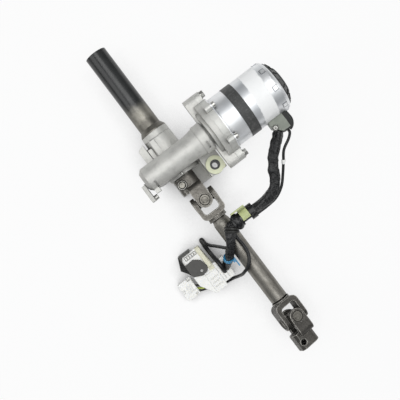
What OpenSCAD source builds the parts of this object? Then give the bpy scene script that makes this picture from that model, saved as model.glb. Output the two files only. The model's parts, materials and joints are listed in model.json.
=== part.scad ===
// Power-assisted steering column with a jointed lower shaft and its wiring loom.
// X runs along the motor towards its end cap, Y along the column towards the upper end, Z up.
// Sizes in millimetres. The origin is on the column's axis at the upper end of its tube.

/* [Column tube] */
// Outside diameter of the column tube
tube_d = 32; // [30:1:34]
// Wall of the column tube
tube_wall = 2; // [1.6:0.2:2.4]
// Length of the tube from the foot of its flare to its upper end
tube_len = 136; // [110:2:180]
// Diameter of the flared foot
foot_d = 40; // [38:0.5:41]

/* [Gear housing] */
// Height of the sensor neck's top above the worm's axis
neck_top = 51; // [48:1:58]
// Outside diameter of the worm barrel
barrel_d = 35.6; // [34:0.4:38]
// Face width of the worm wheel
wheel_face = 16; // [12:1:17]
// Wall around the worm wheel
case_wall = 5.7; // [4.5:0.3:7]
// Distance of the ear bolts from the motor's axis
ear_bolt_y = 48.5; // [47:0.5:50]

/* [Mounting lug] */
// Outside diameter of the nylon bush's flange
bush_d = 26; // [24:0.5:27]
// Bore of the steel sleeve
bush_bore = 8.4; // [8.2:0.2:9]
// Distance of the bush from the column's axis
bush_x = 40.5; // [40.5:0.5:44]

/* [Motor] */
// Diameter of the motor can
motor_d = 75; // [72:0.5:76]
// Length of the motor can
motor_len = 90; // [84:2:110]
// Width of the dark band on the can
band_w = 15; // [10:1:18]

/* [Joints] */
// Width of a yoke's ear
ear_w = 22.4; // [20:0.4:22.8]
// Thickness of a yoke's ear
ear_t = 6.3; // [5.6:0.1:6.4]
// Diameter of a bearing cup
cup_d = 14.5; // [13.5:0.5:15]
// Bore of the clamp yokes
clamp_bore = 15.2; // [14:0.2:15.6]
// Bore for a pinch bolt
pinch_bore = 8.4; // [8.2:0.1:8.6]
// Turn of the lower joint against the upper one
phase = 18; // [0:1:30]

/* [Intermediate shaft] */
// Outside diameter of the shaft tube
mid_d = 25; // [24:0.5:25.5]
// Length of the shaft tube
mid_len = 143; // [130:1:170]

/* [Loom] */
// Diameter of the loom
loom_d = 15; // [12:0.5:15]
// Diameter of the branch sleeve
branch_d = 13; // [10:0.5:13]
// Diameter of the sensor lead
lead_d = 4; // [3:0.2:4.2]
// Diameter of the lead to the main connector
thin_d = 4.8; // [4:0.2:5]
// Diameter of the spliced leads' sleeve
splice_d = 6.4; // [5:0.2:6.6]

/* [Hidden] */
$fn = 64;
tube_r = tube_d / 2;
tube_bore = tube_r - tube_wall;
tube_top = neck_top + tube_len;
slip = 0.03;

// worm and wheel
gear_module = 2;
wheel_teeth = 33;
worm_starts = 2;
worm_pitch_r = 9;
wheel_pitch_r = gear_module * wheel_teeth / 2;
centre_z = worm_pitch_r + wheel_pitch_r;
axial_pitch = PI * gear_module;
worm_lead = worm_starts * axial_pitch;
worm_tip_r = worm_pitch_r + 1.8;
worm_root_r = worm_pitch_r - 2.4;
wheel_tip_r = wheel_pitch_r + 1.8;
wheel_root_r = wheel_pitch_r - 2.4;
tooth_half = 1.25;
flank = tan(20);
wheel_twist = atan2(worm_lead / (2 * PI), worm_pitch_r);
wheel_turn = wheel_face * tan(wheel_twist) / wheel_pitch_r * 180 / PI;
rim_bore_r = 24;

// housing
barrel_r = barrel_d / 2;
cavity_r = wheel_tip_r + 1.5;
case_r = cavity_r + case_wall;
cavity_half = wheel_face / 2 + 2;
case_top = cavity_half + 5;
cover_t = 5;
cover_y = -cavity_half - 1;
cover_low = cover_y - cover_t;
boss_low = cover_low - 6;
neck_r = foot_d / 2 + 1.7;
neck_top_r = foot_d / 2 + 0.3;
bearing_r = 18.5;
shaft_r = 10;
seat_r = 12.5;
worm_shaft_r = 6;
worm_bearing_r = 14;
barrel_left = -51;
collar_x = 41;
barrel_collar_r = barrel_r + 3.8;
slot_w = 2.4;
slot_depth = 1.3;
worm_bearing_w = 8;
flange_x = 53.4;
worm_bearing_at = [barrel_left + 5, flange_x - 15.4];
joint_x = 69.4;
plate_x = 78.8;
ear_end_r = 9;
ear_end_y = ear_bolt_y - 2.5;
screw_angles = [-36, 36, 144, 216];
lug_ring_r = case_r + 2;
lug_angles = [-26, 45, 135, 206];

// mounting lug
bush_y = -37;
bush_body_r = 9.5;
sleeve_r = 7;
lug_in = bush_x - 13.5;
lug_out = bush_x + 12.5;
web_half = 22;
lug_low_z = -14;
lug_top_z = 12;
bush_lip = 3;
bush_corner_r = 5;

// motor
can_r = motor_d / 2;
flange_r = can_r + 3.5;
screw_ring_r = can_r + 5.5;
can_wall = 2;
crimp_count = 8;
crimp_w = 6;
can_bore = can_r - can_wall;
can_end = plate_x + motor_len;
band_x = plate_x + 24;
magnet_len = motor_len - 40;
rotor_left = joint_x - 13.9;
neck_in = can_end - 35.5;
boot_in = can_end - 40;
boot_out = boot_in + 28;
boot_low = -can_r - 22;
boot_half = 10;

// yokes
ear_out = 18.6;
ear_in = ear_out - ear_t;
ear_r = ear_w / 2;
cup_r = cup_d / 2;
base_in = 19.8;
base_t = 7.5;
bend_r = 8.5;
pocket_r = 4.5;
pinch_x = -13;
clamp_left = pinch_x - 7;
clamp_len = 24.7;
upper_y = boss_low - 0.7 - clamp_len - base_in;
weld_low = upper_y - base_in - base_t;
collar_r = 13.6;
collar_t = 3.5;
mid_top = weld_low - collar_t;
mid_r = mid_d / 2;
mid_bore = mid_r - 2;
mid_low = mid_top - mid_len;
slide_gap = 1.2;
hub_t = 3;
inner_r = 8.5;
sleeve_len = mid_len - 83;
inner_len = sleeve_len + 35;
lower_y = mid_low - slide_gap - hub_t - base_t - base_in;

// loom routes, chosen by hand, in the frame of the gears
boot_face = [boot_in + 6.5, boot_low + 6.5, centre_z];
loom_path = [
  boot_face,
  boot_face + [-6, -6, 0],
  [112, -74, 37],
  [101, -88, 33],
  [94, -101, 30],
  [85, -111, 28],
  [73, -116.5, 27],
  [60, -118, 26],
  [46, -118, 26],
  [30, -118, 26],
  [14, -118, 26]
];
branch_path = [
  [11, -118, 26],
  [8, -118, 26],
  [4, -121, 26],
  [-3, -130, 25],
  [-12, -141, 20],
  [-20, -150, 11],
  [-26, -156, 0],
  [-31, -161, -12]
];
sensor_path = [
  [boot_out - 10, boot_low, centre_z - 4],
  [boot_out - 10, boot_low - 3, centre_z - 4],
  [boot_out - 14, boot_low - 8, centre_z - 6],
  [126, -78, 34],
  [117, -90, 29],
  [107, -103, 24],
  [95, -116, 21],
  [80, -124, 20],
  [62, -126, 20.5],
  [52, -126, 21],
  [46, -126, 21]
];
thin_path = [
  [11, -125.4, 20.5],
  [8, -126, 20.3],
  [5, -129.5, 20],
  [4, -136, 19],
  [5, -148, 17.5],
  [3, -163, 17.5],
  [-5, -175, 17],
  [-17, -181, 9],
  [-26, -183, -12],
  [-36, -182, -27],
  [-48, -181, -32]
];
spare_path_a = [
  [-14, -141, 16],
  [-18, -137.5, 8],
  [-22, -134, -2],
  [-28, -129, -18],
  [-34, -124, -32],
  [-37, -119.5, -38]
];
spare_path_b = [
  [-38, -166, -13],
  [-38, -158, -6],
  [-38, -150, -6],
  [-39, -140, -14],
  [-40, -130, -30],
  [-40.5, -119.5, -38]
];
pigtail_paths = [
  [[-87, -157, -33], [-82, -160, -31], [-75, -165, -30]],
  [[-87, -162, -34], [-81, -166, -31], [-71, -171, -30]],
  [[-87, -166, -36], [-82, -169.5, -34], [-70, -173, -34]]
];
floor_z = -case_r;
wrap_r = 11.5;
roll_r = 6;
cavity = 4;
block_top = -11;
main_outline = [
  [-79, -120], [-76, -114], [-48, -114], [-46, -146], [-46, -183], [-66, -183], [-79, -161]
];
tab_outline = [
  [-88, -128], [-78, -126], [-65, -125], [-56, -132], [-53, -144],
  [-57, -150], [-66, -151.5], [-78, -146], [-82, -137]
];
cap_outline = [
  [-88, -128], [-80, -110], [-62, -110], [-62, -114], [-76, -114], [-79, -120], [-79, -128]
];

// moves the gears' frame to the upper end of the tube
module placed() {
  translate([0, -tube_top, 0]) children();
}

// turns an upright shape to lie along +Y, with its foot at y
module along_y(y) {
  translate([0, y, 0]) rotate([-90, 0, 0]) children();
}

// turns an upright shape to lie along +X on the worm's axis, with its foot at x
module along_x(x) {
  translate([x, 0, centre_z]) rotate([0, 90, 0]) children();
}

module ring(outer, inner, height) {
  difference() {
    cylinder(r = outer, h = height);
    translate([0, 0, -1]) cylinder(r = inner, h = height + 2);
  }
}

// the outline of the two-eared flange, with its ears along local y
module ear_outline() {
  square([2 * ear_end_r, 2 * ear_end_y], center = true);
  for (side = [-1, 1]) translate([0, side * ear_end_y]) circle(r = ear_end_r);
}

module ear_holes(radius) {
  for (side = [-1, 1]) translate([0, side * ear_bolt_y]) circle(r = radius);
}

module screw_spots() {
  for (a = screw_angles) rotate(a) translate([-screw_ring_r, 0]) children();
}

function unit(v) = v / norm(v);
function heading(path, i) =
  unit(path[min(i + 1, len(path) - 1)] - path[max(i - 1, 0)]);

// a round cord swept along a route
module cord(path, d, sides = 10, aside = [0, 0.2, 1]) {
  count = len(path);
  rims = [
    for (i = [0 : count - 1])
      let (t = heading(path, i), s = unit(cross(t, aside)), u = cross(s, t))
        for (k = [0 : sides - 1])
          path[i] + d / 2 * (cos(360 * k / sides) * s + sin(360 * k / sides) * u)
  ];
  walls = [
    for (i = [0 : count - 2])
      for (k = [0 : sides - 1])
        let (a = i * sides + k, b = i * sides + (k + 1) % sides)
          [a, b, b + sides, a + sides]
  ];
  foot = [[for (k = [0 : sides - 1]) sides - 1 - k]];
  head = [[for (k = [0 : sides - 1]) (count - 1) * sides + k]];
  polyhedron(points = rims, faces = concat(walls, foot, head), convexity = 4);
}

module column_tube() {
  placed() color([0.17, 0.18, 0.18])
    rotate([-90, 0, 0]) rotate_extrude()
      polygon([
        [tube_bore, neck_top], [foot_d / 2, neck_top], [foot_d / 2, neck_top + 2],
        [tube_r, neck_top + 8.5], [tube_r, tube_top], [tube_bore, tube_top]
      ]);
}

module upper_bearing() {
  placed() color([0.6, 0.6, 0.6])
    along_y(tube_top - 19) ring(tube_bore, shaft_r + slip, 12);
}

// the cast body: neck, wheel case, worm barrel and the bell that carries the motor
// a short cast slot across the barrel's lower front
module barrel_slot(x, outer) {
  intersection() {
    along_x(x) ring(outer + 4, outer - slot_depth, slot_w);
    translate([x - 1, -16.5, centre_z + 4]) cube([slot_w + 2, 9.5, 20]);
  }
}

module gear_housing() {
  placed() color([0.74, 0.74, 0.72])
    difference() {
      union() {
        along_y(0) cylinder(r1 = neck_r, r2 = neck_top_r, h = neck_top);
        along_y(cover_y) cylinder(r = case_r, h = case_top - cover_y);
        along_x(barrel_left + 5) cylinder(r = barrel_r, h = flange_x - barrel_left);
        along_x(26) cylinder(r1 = barrel_r, r2 = 22.2, h = flange_x - 26);
        along_x(collar_x) cylinder(r = barrel_collar_r, h = flange_x - collar_x + 1);
        along_x(flange_x) linear_extrude(joint_x - flange_x) ear_outline();
        along_x(flange_x + 3.6) cylinder(r = 32, h = 6);
        along_x(flange_x + 8.1) cylinder(r = flange_r, h = joint_x - flange_x - 8.1);
        for (a = lug_angles)
          along_y(cover_y) rotate(a) translate([lug_ring_r, 0, 0]) cylinder(r = 6, h = 12);
        translate([-23.6, case_top - 1, -10]) cube([20, neck_top - 16 - case_top, 20]);
        translate([-22.6, case_top - 1, 0]) cube([6, neck_top - 16 - case_top, 14]);
        translate([-14, case_top - 1, 0]) cube([7.7, neck_top - 7 - case_top, 20.4]);
        translate([barrel_left + 5, -22.5, centre_z - 8]) cube([7, 12, 16]);
      }
      along_y(cover_y - 1) cylinder(r = cavity_r, h = cavity_half - cover_y + 1);
      along_y(cavity_half - 1) cylinder(r = bearing_r, h = 8);
      along_y(cavity_half) cylinder(r = 16.5, h = neck_top);
      along_x(barrel_left) cylinder(r = worm_tip_r + 0.8, h = 120);
      along_x(barrel_left) cylinder(r = worm_bearing_r, h = worm_bearing_w + 5);
      along_x(worm_bearing_at[1]) cylinder(r = worm_bearing_r, h = 20);
      along_x(46) cylinder(r = 17, h = 30);
      along_x(flange_x + 3) linear_extrude(30) ear_holes(3.3);
      barrel_slot(barrel_left + 11.5, barrel_r);
      barrel_slot(collar_x + 5.5, barrel_collar_r);
      along_y(neck_top - 9) ring(neck_r + 2, neck_r - 1.6, 1);
      for (a = lug_angles)
        along_y(cover_y - 1) rotate(a) translate([lug_ring_r, 0, 0]) cylinder(r = 2.5, h = 11);
    }
}

// closes the wheel case below, holds the lower bearing and carries the mounting lug
module lower_cover() {
  placed() color([0.72, 0.72, 0.7])
    difference() {
      union() {
        along_y(cover_low) linear_extrude(cover_t) {
          circle(r = case_r);
          for (a = lug_angles)
            rotate(a) translate([lug_ring_r, 0]) circle(r = 6);
        }
        along_y(boss_low) cylinder(r = 24, h = cover_low - boss_low + 1);
        translate([lug_in, bush_y - 11, lug_low_z])
          cube([lug_out - lug_in, cover_low - bush_y + 12, lug_top_z - lug_low_z]);
        translate([lug_in, cover_low - 2, lug_low_z])
          cube([case_r - 4 - lug_in, cover_t + 1, lug_top_z - lug_low_z]);
        translate([-web_half, bush_y - 10, floor_z + 1])
          cube([web_half + lug_in + 3, cover_low - bush_y + 10.5, 7]);
        translate([-18, cover_low - 1.5, floor_z + 5]) cube([36, cover_t, 10]);
      }
      along_y(cover_y - 9) cylinder(r = bearing_r, h = 20);
      along_y(boss_low - 1) cylinder(r = 13, h = 20);
      translate([bush_x, bush_y, lug_low_z - 1])
        cylinder(r = bush_body_r, h = lug_top_z - lug_low_z + 2);
      for (a = lug_angles) {
        along_y(cover_low - 1) rotate(a) translate([lug_ring_r, 0, 0]) cylinder(r = 2.7, h = 12);
        along_y(cover_low - 1) rotate(a) translate([lug_ring_r, 0, 0]) cylinder(r = 4.5, h = 4);
      }
      along_x(-60) cylinder(r = barrel_r + 0.2, h = 85);
      along_x(24) cylinder(r1 = barrel_r + 0.6, r2 = 22.9, h = flange_x - 24);
    }
}

module cover_screws() {
  placed() color([0.55, 0.55, 0.55])
    for (a = lug_angles)
      along_y(cover_low) rotate(a) translate([lug_ring_r, 0, 0]) {
        cylinder(r = 4.2, h = 3);
        cylinder(r = 2.4, h = 13);
      }
}

module output_bearings() {
  placed() color([0.62, 0.62, 0.62]) {
    along_y(cover_y - 9) ring(bearing_r, shaft_r + slip, 9);
    along_y(cavity_half) ring(bearing_r, seat_r + slip, 7);
  }
}

module torque_sensor() {
  placed() color([0.2, 0.3, 0.22])
    along_y(neck_top - 24) ring(16.5, 12, 18);
}

module sensor_cover() {
  placed() color([0.78, 0.78, 0.76])
    translate([0, 0, -11]) linear_extrude(25)
      polygon([
        [-23.6, case_top + 3], [-34, case_top + 3], [-34, neck_top - 12],
        [-32, neck_top - 9.5], [-23.6, neck_top - 6.5]
      ]);
}

module worm_end_cover() {
  placed() color([0.7, 0.7, 0.68]) {
    along_x(barrel_left) cylinder(r1 = 12.5, r2 = barrel_r - 0.3, h = 5);
    along_x(barrel_left + 4) cylinder(r = worm_bearing_r - 0.05, h = 1);
    difference() {
      translate([-58, -29, centre_z - 9]) cube([5.4, 25.5, 18]);
      translate([-60, -25.5, centre_z]) rotate([0, 90, 0]) cylinder(r = 2.5, h = 10);
    }
    translate([-53.6, -10, centre_z - 6]) cube([5, 8, 12]);
  }
}

module end_cover_bolt() {
  placed() color([0.6, 0.6, 0.6])
    translate([-58, -25.5, centre_z]) rotate([0, 90, 0]) {
      cylinder(r = 2.5, h = 6);
      translate([0, 0, 5.4]) cylinder(r = 3.6, h = 5.4);
    }
}

module worm_bearings() {
  placed() color([0.62, 0.62, 0.62])
    for (x = worm_bearing_at) along_x(x) ring(worm_bearing_r, worm_shaft_r + slip, worm_bearing_w);
}

module motor_flange() {
  placed() color([0.74, 0.74, 0.72])
    along_x(joint_x) difference() {
      linear_extrude(plate_x - joint_x) difference() {
        union() {
          circle(r = flange_r);
          ear_outline();
          screw_spots() circle(r = 5.5);
        }
        ear_holes(3.3);
        screw_spots() circle(r = 2.5);
      }
      translate([0, 0, 1.4]) cylinder(r = 11, h = 20);
      translate([0, 0, -1]) cylinder(r = 9, h = 20);
    }
}

module ear_bolts() {
  placed() color([0.6, 0.6, 0.6])
    for (side = [-1, 1]) translate([0, side * ear_bolt_y, 0]) {
      along_x(flange_x + 4) cylinder(r = 3.25, h = plate_x - flange_x - 3);
      along_x(plate_x) cylinder(r = 5.5, h = 1.4);
      along_x(plate_x + 1) cylinder(r = 5.2, h = 4.6, $fn = 6);
    }
}

module flange_screws() {
  placed() color([0.58, 0.58, 0.58])
    along_x(joint_x) screw_spots() {
      translate([0, 0, 1]) cylinder(r = 2.4, h = plate_x - joint_x + 1);
      translate([0, 0, plate_x - joint_x + 1.6]) cylinder(r = 4.2, h = 4.4);
    }
}

// the deep-drawn can, open at the flange and pocketed for the rear bearing
module motor_can() {
  placed() color([0.8, 0.81, 0.81])
    difference() {
      union() {
        along_x(0) rotate_extrude()
          polygon([
            [can_bore, plate_x], [can_r, plate_x], [can_r, can_end - 5.6],
            [can_r - 1.2, can_end - 2.2], [can_r - 4.5, can_end], [9, can_end],
            [9, can_end - 1.5], [6.5, can_end - 1.5], [6.5, can_end - 3],
            [9, can_end - 3], [9, can_end - 12], [11, can_end - 12],
            [11, can_end - 3.6], [can_bore, can_end - 3.6]
          ]);
        for (i = [0 : crimp_count - 1])
          along_x(can_end - 11.5) rotate(360 / crimp_count * i + 10)
            translate([can_r - 1, -crimp_w / 2, 0]) cube([1.6, crimp_w, 5.5]);
        along_x(plate_x) linear_extrude(1.6) difference() {
          union() {
            circle(r = flange_r);
            screw_spots() circle(r = 5.5);
          }
          circle(r = can_bore);
          ear_holes(8);
        }
      }
      along_x(plate_x - 1) linear_extrude(4) screw_spots() circle(r = 2.6);
    }
}

module can_band() {
  placed() color([0.25, 0.26, 0.26])
    along_x(band_x) ring(can_r + 0.5, can_r + 0.02, band_w);
}

module magnets() {
  placed() color([0.3, 0.3, 0.32])
    along_x(plate_x + 12) difference() {
      ring(can_bore, can_bore - 5.5, magnet_len);
      for (a = [0, 90]) rotate(a) translate([-6, -can_r, -1]) cube([12, motor_d, magnet_len + 2]);
    }
}

module brush_holder() {
  placed() color([0.15, 0.15, 0.15])
    along_x(can_end - 24) {
      ring(can_bore, 16, 3);
      for (a = [0, 180]) rotate(a) translate([11.4, -4, 2.5]) cube([12, 8, 7]);
    }
}

module motor_bearings() {
  placed() color([0.62, 0.62, 0.62]) {
    along_x(joint_x + 1.4) ring(11, worm_shaft_r + slip, 7);
    along_x(can_end - 11) ring(9, 4 + slip, 7);
  }
}

module motor_end_cap() {
  placed() color([0.2, 0.21, 0.2])
    along_x(can_end) rotate_extrude()
      polygon([
        [0, 0], [can_r - 4.8, 0], [can_r - 4.8, 1.2], [22, 6.8], [20, 8.9], [0, 8.9]
      ]);
}

// the rubber boot where the loom leaves the can
module cable_boot() {
  placed() color([0.32, 0.34, 0.32])
    difference() {
      translate([0, 0, centre_z - boot_half]) linear_extrude(2 * boot_half)
        polygon([
          [boot_in, -can_r + 6], [boot_in, boot_low + 13], [boot_in + 13, boot_low],
          [boot_out - 4, boot_low], [boot_out, boot_low + 4], [boot_out, -can_r + 6]
        ]);
      along_x(boot_in - 5) cylinder(r = can_r + 0.02, h = 60);
    }
}

module bush_lip_outline() {
  circle(d = bush_d);
  translate([0, bush_corner_r - 11]) square([lug_out - bush_x, 11 - bush_corner_r]);
  translate([0, -11]) square([lug_out - bush_x - bush_corner_r, 11]);
  translate([lug_out - bush_x - bush_corner_r, bush_corner_r - 11]) circle(r = bush_corner_r);
}

module mount_bush() {
  placed() color([0.84, 0.86, 0.72])
    translate([bush_x, bush_y, 0]) difference() {
      union() {
        translate([0, 0, lug_top_z]) linear_extrude(bush_lip) bush_lip_outline();
        translate([0, 0, lug_low_z]) cylinder(r = bush_body_r, h = lug_top_z - lug_low_z);
        translate([0, 0, lug_low_z - bush_lip]) linear_extrude(bush_lip) bush_lip_outline();
      }
      translate([0, 0, -50]) cylinder(r = sleeve_r, h = 100);
    }
}

module bush_sleeve() {
  placed() color([0.6, 0.6, 0.57])
    translate([bush_x, bush_y, lug_low_z - bush_lip - 0.4])
      ring(sleeve_r, bush_bore / 2, lug_top_z - lug_low_z + 2 * bush_lip + 0.8);
}

module input_shaft() {
  placed() color([0.6, 0.6, 0.6])
    difference() {
      along_y(24) cylinder(r = shaft_r, h = tube_top - 30);
      along_y(23) cylinder(r = 5, h = neck_top - 12);
      along_y(tube_top - 51) cylinder(r = clamp_bore / 2, h = 60);
    }
}

module torsion_bar() {
  placed() color([0.5, 0.5, 0.52])
    rotate([-90, 0, 0]) rotate_extrude()
      polygon([
        [0, -10], [5, -10], [5, 4], [3.6, 7], [3.6, neck_top - 8],
        [5, neck_top - 5], [5, neck_top + 9], [0, neck_top + 9]
      ]);
}

module output_shaft() {
  placed() color([0.62, 0.62, 0.6])
    difference() {
      union() {
        along_y(cover_y + 0.3) cylinder(r = seat_r, h = 23.2 - cover_y);
        along_y(boss_low - 0.5) cylinder(r = shaft_r, h = cover_y - boss_low + 1);
        along_y(boss_low - clamp_len + 2) cylinder(d = clamp_bore, h = clamp_len);
      }
      along_y(-12) cylinder(r = 5, h = 60);
    }
}

module wheel_hub() {
  placed() color([0.55, 0.55, 0.55])
    along_y(-wheel_face / 2) ring(rim_bore_r, seat_r, wheel_face);
}

function tooth_width(r) = tooth_half - (r - wheel_pitch_r) * flank;
function tooth_angle(r) = tooth_width(r) / r * 180 / PI;

// the toothed nylon rim, a gap of it facing the worm's thread
module worm_wheel() {
  step = 360 / wheel_teeth;
  placed() color([0.85, 0.83, 0.74])
    along_y(-wheel_face / 2) rotate(-wheel_turn / 2 + step / 2)
      linear_extrude(wheel_face, twist = -wheel_turn, slices = 6) difference() {
        polygon([
          for (i = [0 : wheel_teeth - 1])
            for (p = [
              [wheel_root_r, -tooth_angle(wheel_root_r)], [wheel_tip_r, -tooth_angle(wheel_tip_r)],
              [wheel_tip_r, tooth_angle(wheel_tip_r)], [wheel_root_r, tooth_angle(wheel_root_r)]
            ])
              let (a = i * step + p[1] - 90) [p[0] * cos(a), p[0] * sin(a)]
        ]);
        circle(r = rim_bore_r);
      }
}

// one fork of a universal joint: pins along Z, base towards +Y
module fork_outline() {
  difference() {
    union() {
      translate([-ear_out, 0]) square([2 * ear_out, base_in + base_t - bend_r]);
      translate([bend_r - ear_out, 0]) square([2 * (ear_out - bend_r), base_in + base_t]);
      for (side = [-1, 1]) translate([side * (ear_out - bend_r), base_in + base_t - bend_r]) circle(r = bend_r);
    }
    translate([-ear_in, -1]) square([2 * ear_in, base_in + 1 - pocket_r]);
    translate([pocket_r - ear_in, -1]) square([2 * (ear_in - pocket_r), base_in + 1]);
    for (side = [-1, 1]) translate([side * (ear_in - pocket_r), base_in - pocket_r]) circle(r = pocket_r);
  }
}

module fork() {
  difference() {
    union() {
      for (side = [-1, 1]) translate([0, 0, side * (ear_out - ear_t / 2)])
        cylinder(r = ear_r, h = ear_t, center = true);
      translate([-ear_r, 0, 0]) rotate([0, 90, 0]) linear_extrude(ear_w) fork_outline();
    }
    cylinder(r = cup_r, h = 60, center = true);
  }
}

// a fork whose base grips a shaft by a slit boss and a pinch bolt
module clamp_yoke() {
  difference() {
    union() {
      fork();
      along_y(base_in) linear_extrude(clamp_len) {
        circle(r = ear_r);
        translate([clamp_left, -ear_r]) square([-clamp_left, ear_w]);
      }
    }
    along_y(base_in - 1) cylinder(d = clamp_bore, h = clamp_len + 2);
    translate([clamp_left - 1, base_in - 1, -0.8]) cube([-clamp_left, clamp_len + 2, 1.6]);
    translate([pinch_x, base_in + clamp_len - 10, -30]) cylinder(d = pinch_bore, h = 60);
    for (side = [-1, 1])
      translate([clamp_left, base_in - 1, side * ear_r]) rotate([0, 45, 0])
        translate([-3, 0, -3]) cube([6, clamp_len + 2, 6]);
  }
}

// the two bearing cups of a fork
module fork_cups() {
  for (side = [0, 180]) rotate([side, 0, 0]) difference() {
    translate([0, 0, ear_out - 8]) cylinder(r = cup_r, h = 7.6);
    translate([0, 0, ear_out - 9]) cylinder(r = cup_r - 2, h = 7.4);
  }
}

module cross_shape() {
  for (turn = [0, 90]) rotate([0, turn, 0]) {
    cylinder(r = cup_r - 2 - slip, h = 2 * ear_out - 3.8, center = true);
    cylinder(r = cup_r - 0.4, h = 2 * ear_out - 16.8, center = true);
  }
  cube([13, 13, 13], center = true);
}

module at_upper() {
  placed() translate([0, upper_y, 0]) children();
}

module at_lower() {
  placed() translate([0, lower_y, 0]) rotate([0, phase, 0]) children();
}

module upper_clamp_yoke() {
  color([0.5, 0.5, 0.47]) at_upper() clamp_yoke();
}

// the pinch bolt, its head below and its split washer and end above
module upper_pinch_bolt() {
  color([0.62, 0.62, 0.6]) at_upper() translate([pinch_x, base_in + clamp_len - 10, 0]) {
    translate([0, 0, -ear_r - 4.5]) cylinder(r = 4, h = 2 * ear_r + 8.5);
    translate([0, 0, -ear_r - 5]) cylinder(r = 6.2, h = 5, $fn = 6);
    translate([0, 0, ear_r]) difference() {
      cylinder(r = 6.6, h = 2);
      translate([0, -7.5, -1]) cube([1.4, 7.5, 4]);
    }
  }
}

module upper_cups() {
  color([0.66, 0.66, 0.64]) at_upper() fork_cups();
}

function thread_r(u) =
  let (w = abs(u), top = tooth_half - 1.8 * flank, low = tooth_half + 2.4 * flank)
    w <= top ? worm_tip_r
    : w >= low ? worm_root_r
    : worm_tip_r - (w - top) / flank;

// the two-start worm on its shaft
module worm_shaft() {
  marks = [for (i = [-6 : 5]) i / 12];
  placed() color([0.58, 0.58, 0.58]) {
    along_x(-22) rotate(-22 / worm_lead * 360)
      linear_extrude(44, twist = -44 / worm_lead * 360, slices = 80, $fn = 24)
        polygon([
          for (start = [0 : worm_starts - 1])
            for (m = marks)
              let (a = 360 / worm_starts * (start + m), r = thread_r(m * axial_pitch))
                [r * cos(a), r * sin(a)]
        ]);
    along_x(-45.7) cylinder(r = worm_shaft_r, h = 24);
    along_x(21.5) cylinder(r = worm_shaft_r, h = 33);
  }
}

module motor_coupling() {
  placed() color([0.14, 0.14, 0.14])
    along_x(47) ring(13, worm_shaft_r, 20);
}

// the motor's shaft, its wound core and its commutator
module rotor() {
  placed() color([0.6, 0.42, 0.26]) {
    along_x(rotor_left) cylinder(r = worm_shaft_r, h = neck_in - rotor_left);
    along_x(neck_in - 0.5) cylinder(r = 4, h = can_end - 3.5 - neck_in);
    along_x(plate_x + 14) cylinder(r = can_bore - 6.3, h = magnet_len - 4);
    along_x(can_end - 25) cylinder(r = 11, h = 11);
  }
}

module upper_cross() {
  color([0.45, 0.45, 0.45]) at_upper() cross_shape();
}

module upper_weld_yoke() {
  color([0.5, 0.49, 0.46]) at_upper() {
    rotate([0, 90, 0]) rotate([180, 0, 0]) fork();
    along_y(-base_in - base_t - collar_t) cylinder(r = collar_r, h = collar_t + 0.1);
    along_y(-base_in - base_t - collar_t - 8) cylinder(r = 8, h = 8.1);
  }
}

module mid_cups() {
  color([0.66, 0.66, 0.64]) at_upper() rotate([0, 90, 0]) fork_cups();
}

module mid_tube() {
  placed() color([0.5, 0.5, 0.48])
    rotate([-90, 0, 0]) rotate_extrude()
      polygon([
        [8, mid_top], [10, mid_top], [10, mid_top - 1], [mid_r, mid_top - 9],
        [mid_r, mid_low + 1], [mid_r - 1, mid_low], [mid_bore, mid_low],
        [mid_bore, mid_top - 9], [8, mid_top - 5]
      ]);
}

module slide_sleeve() {
  placed() color([0.88, 0.87, 0.8])
    along_y(mid_low + 2) ring(mid_bore, inner_r + slip, sleeve_len);
}

module inner_shaft() {
  placed() color([0.56, 0.56, 0.55])
    along_y(mid_low - slide_gap) cylinder(r = inner_r, h = inner_len);
}

module lower_weld_yoke() {
  color([0.36, 0.34, 0.32]) at_lower() {
    rotate([0, 90, 0]) fork();
    along_y(base_in + base_t - 0.1) cylinder(r = collar_r, h = hub_t + 0.1);
  }
}

module inner_cups() {
  color([0.66, 0.66, 0.64]) at_lower() rotate([0, 90, 0]) fork_cups();
}

module lower_cross() {
  color([0.45, 0.45, 0.45]) at_lower() cross_shape();
}

module lower_clamp_yoke() {
  color([0.36, 0.34, 0.32]) at_lower() rotate([180, 0, 0]) clamp_yoke();
}

module lower_cups() {
  color([0.66, 0.66, 0.64]) at_lower() fork_cups();
}

module loom() {
  placed() color([0.12, 0.12, 0.13]) cord(loom_path, loom_d);
}

// the taped lump and the rolled end of the sleeving, both round the loom
module tape_wraps() {
  placed() color([0.1, 0.1, 0.11]) translate([0, -118, 26]) rotate([0, 90, 0]) {
    translate([0, 0, 37]) ring(wrap_r - 0.5, loom_d / 2 + 0.02, 9);
    translate([0, 0, 11]) cylinder(r = wrap_r - 1.5, h = 3);
    translate([0, 0, 13.5]) ring(wrap_r - 1.5, loom_d / 2 + 0.02, 11.5);
    translate([0, 0, 17.6]) rotate_extrude() difference() {
      translate([wrap_r + 0.8 - roll_r, 0]) circle(r = roll_r);
      translate([-30, -15]) square([31 + loom_d / 2, 30]);
    }
  }
}

// the pale clip band with its tail
module harness_clip() {
  placed() color([0.71, 0.75, 0.54]) {
    translate([25, -118, 26]) rotate([0, 90, 0]) linear_extrude(12) difference() {
      circle(r = wrap_r + 0.5);
      circle(r = loom_d / 2 + 0.02);
      translate([-20, -24]) square([40, 20]);
    }
    translate([15, -105.8, 28]) cube([22, 2, 8]);
    translate([25, -108, 28]) cube([12, 3, 4]);
  }
}

module branch_sleeve() {
  placed() color([0.12, 0.12, 0.13]) cord(branch_path, branch_d);
}

module sensor_lead() {
  placed() color([0.1, 0.1, 0.1]) cord(sensor_path, lead_d, 8);
}

module marker_sleeve() {
  placed() color([0.92, 0.92, 0.9])
    cord([sensor_path[4] + [1.5, 2, 0.8], sensor_path[4] - [2, 2.6, 1]], lead_d + 1.4, 8);
}

module thin_lead() {
  placed() color([0.1, 0.1, 0.1]) cord(thin_path, thin_d, 8);
}

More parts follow.
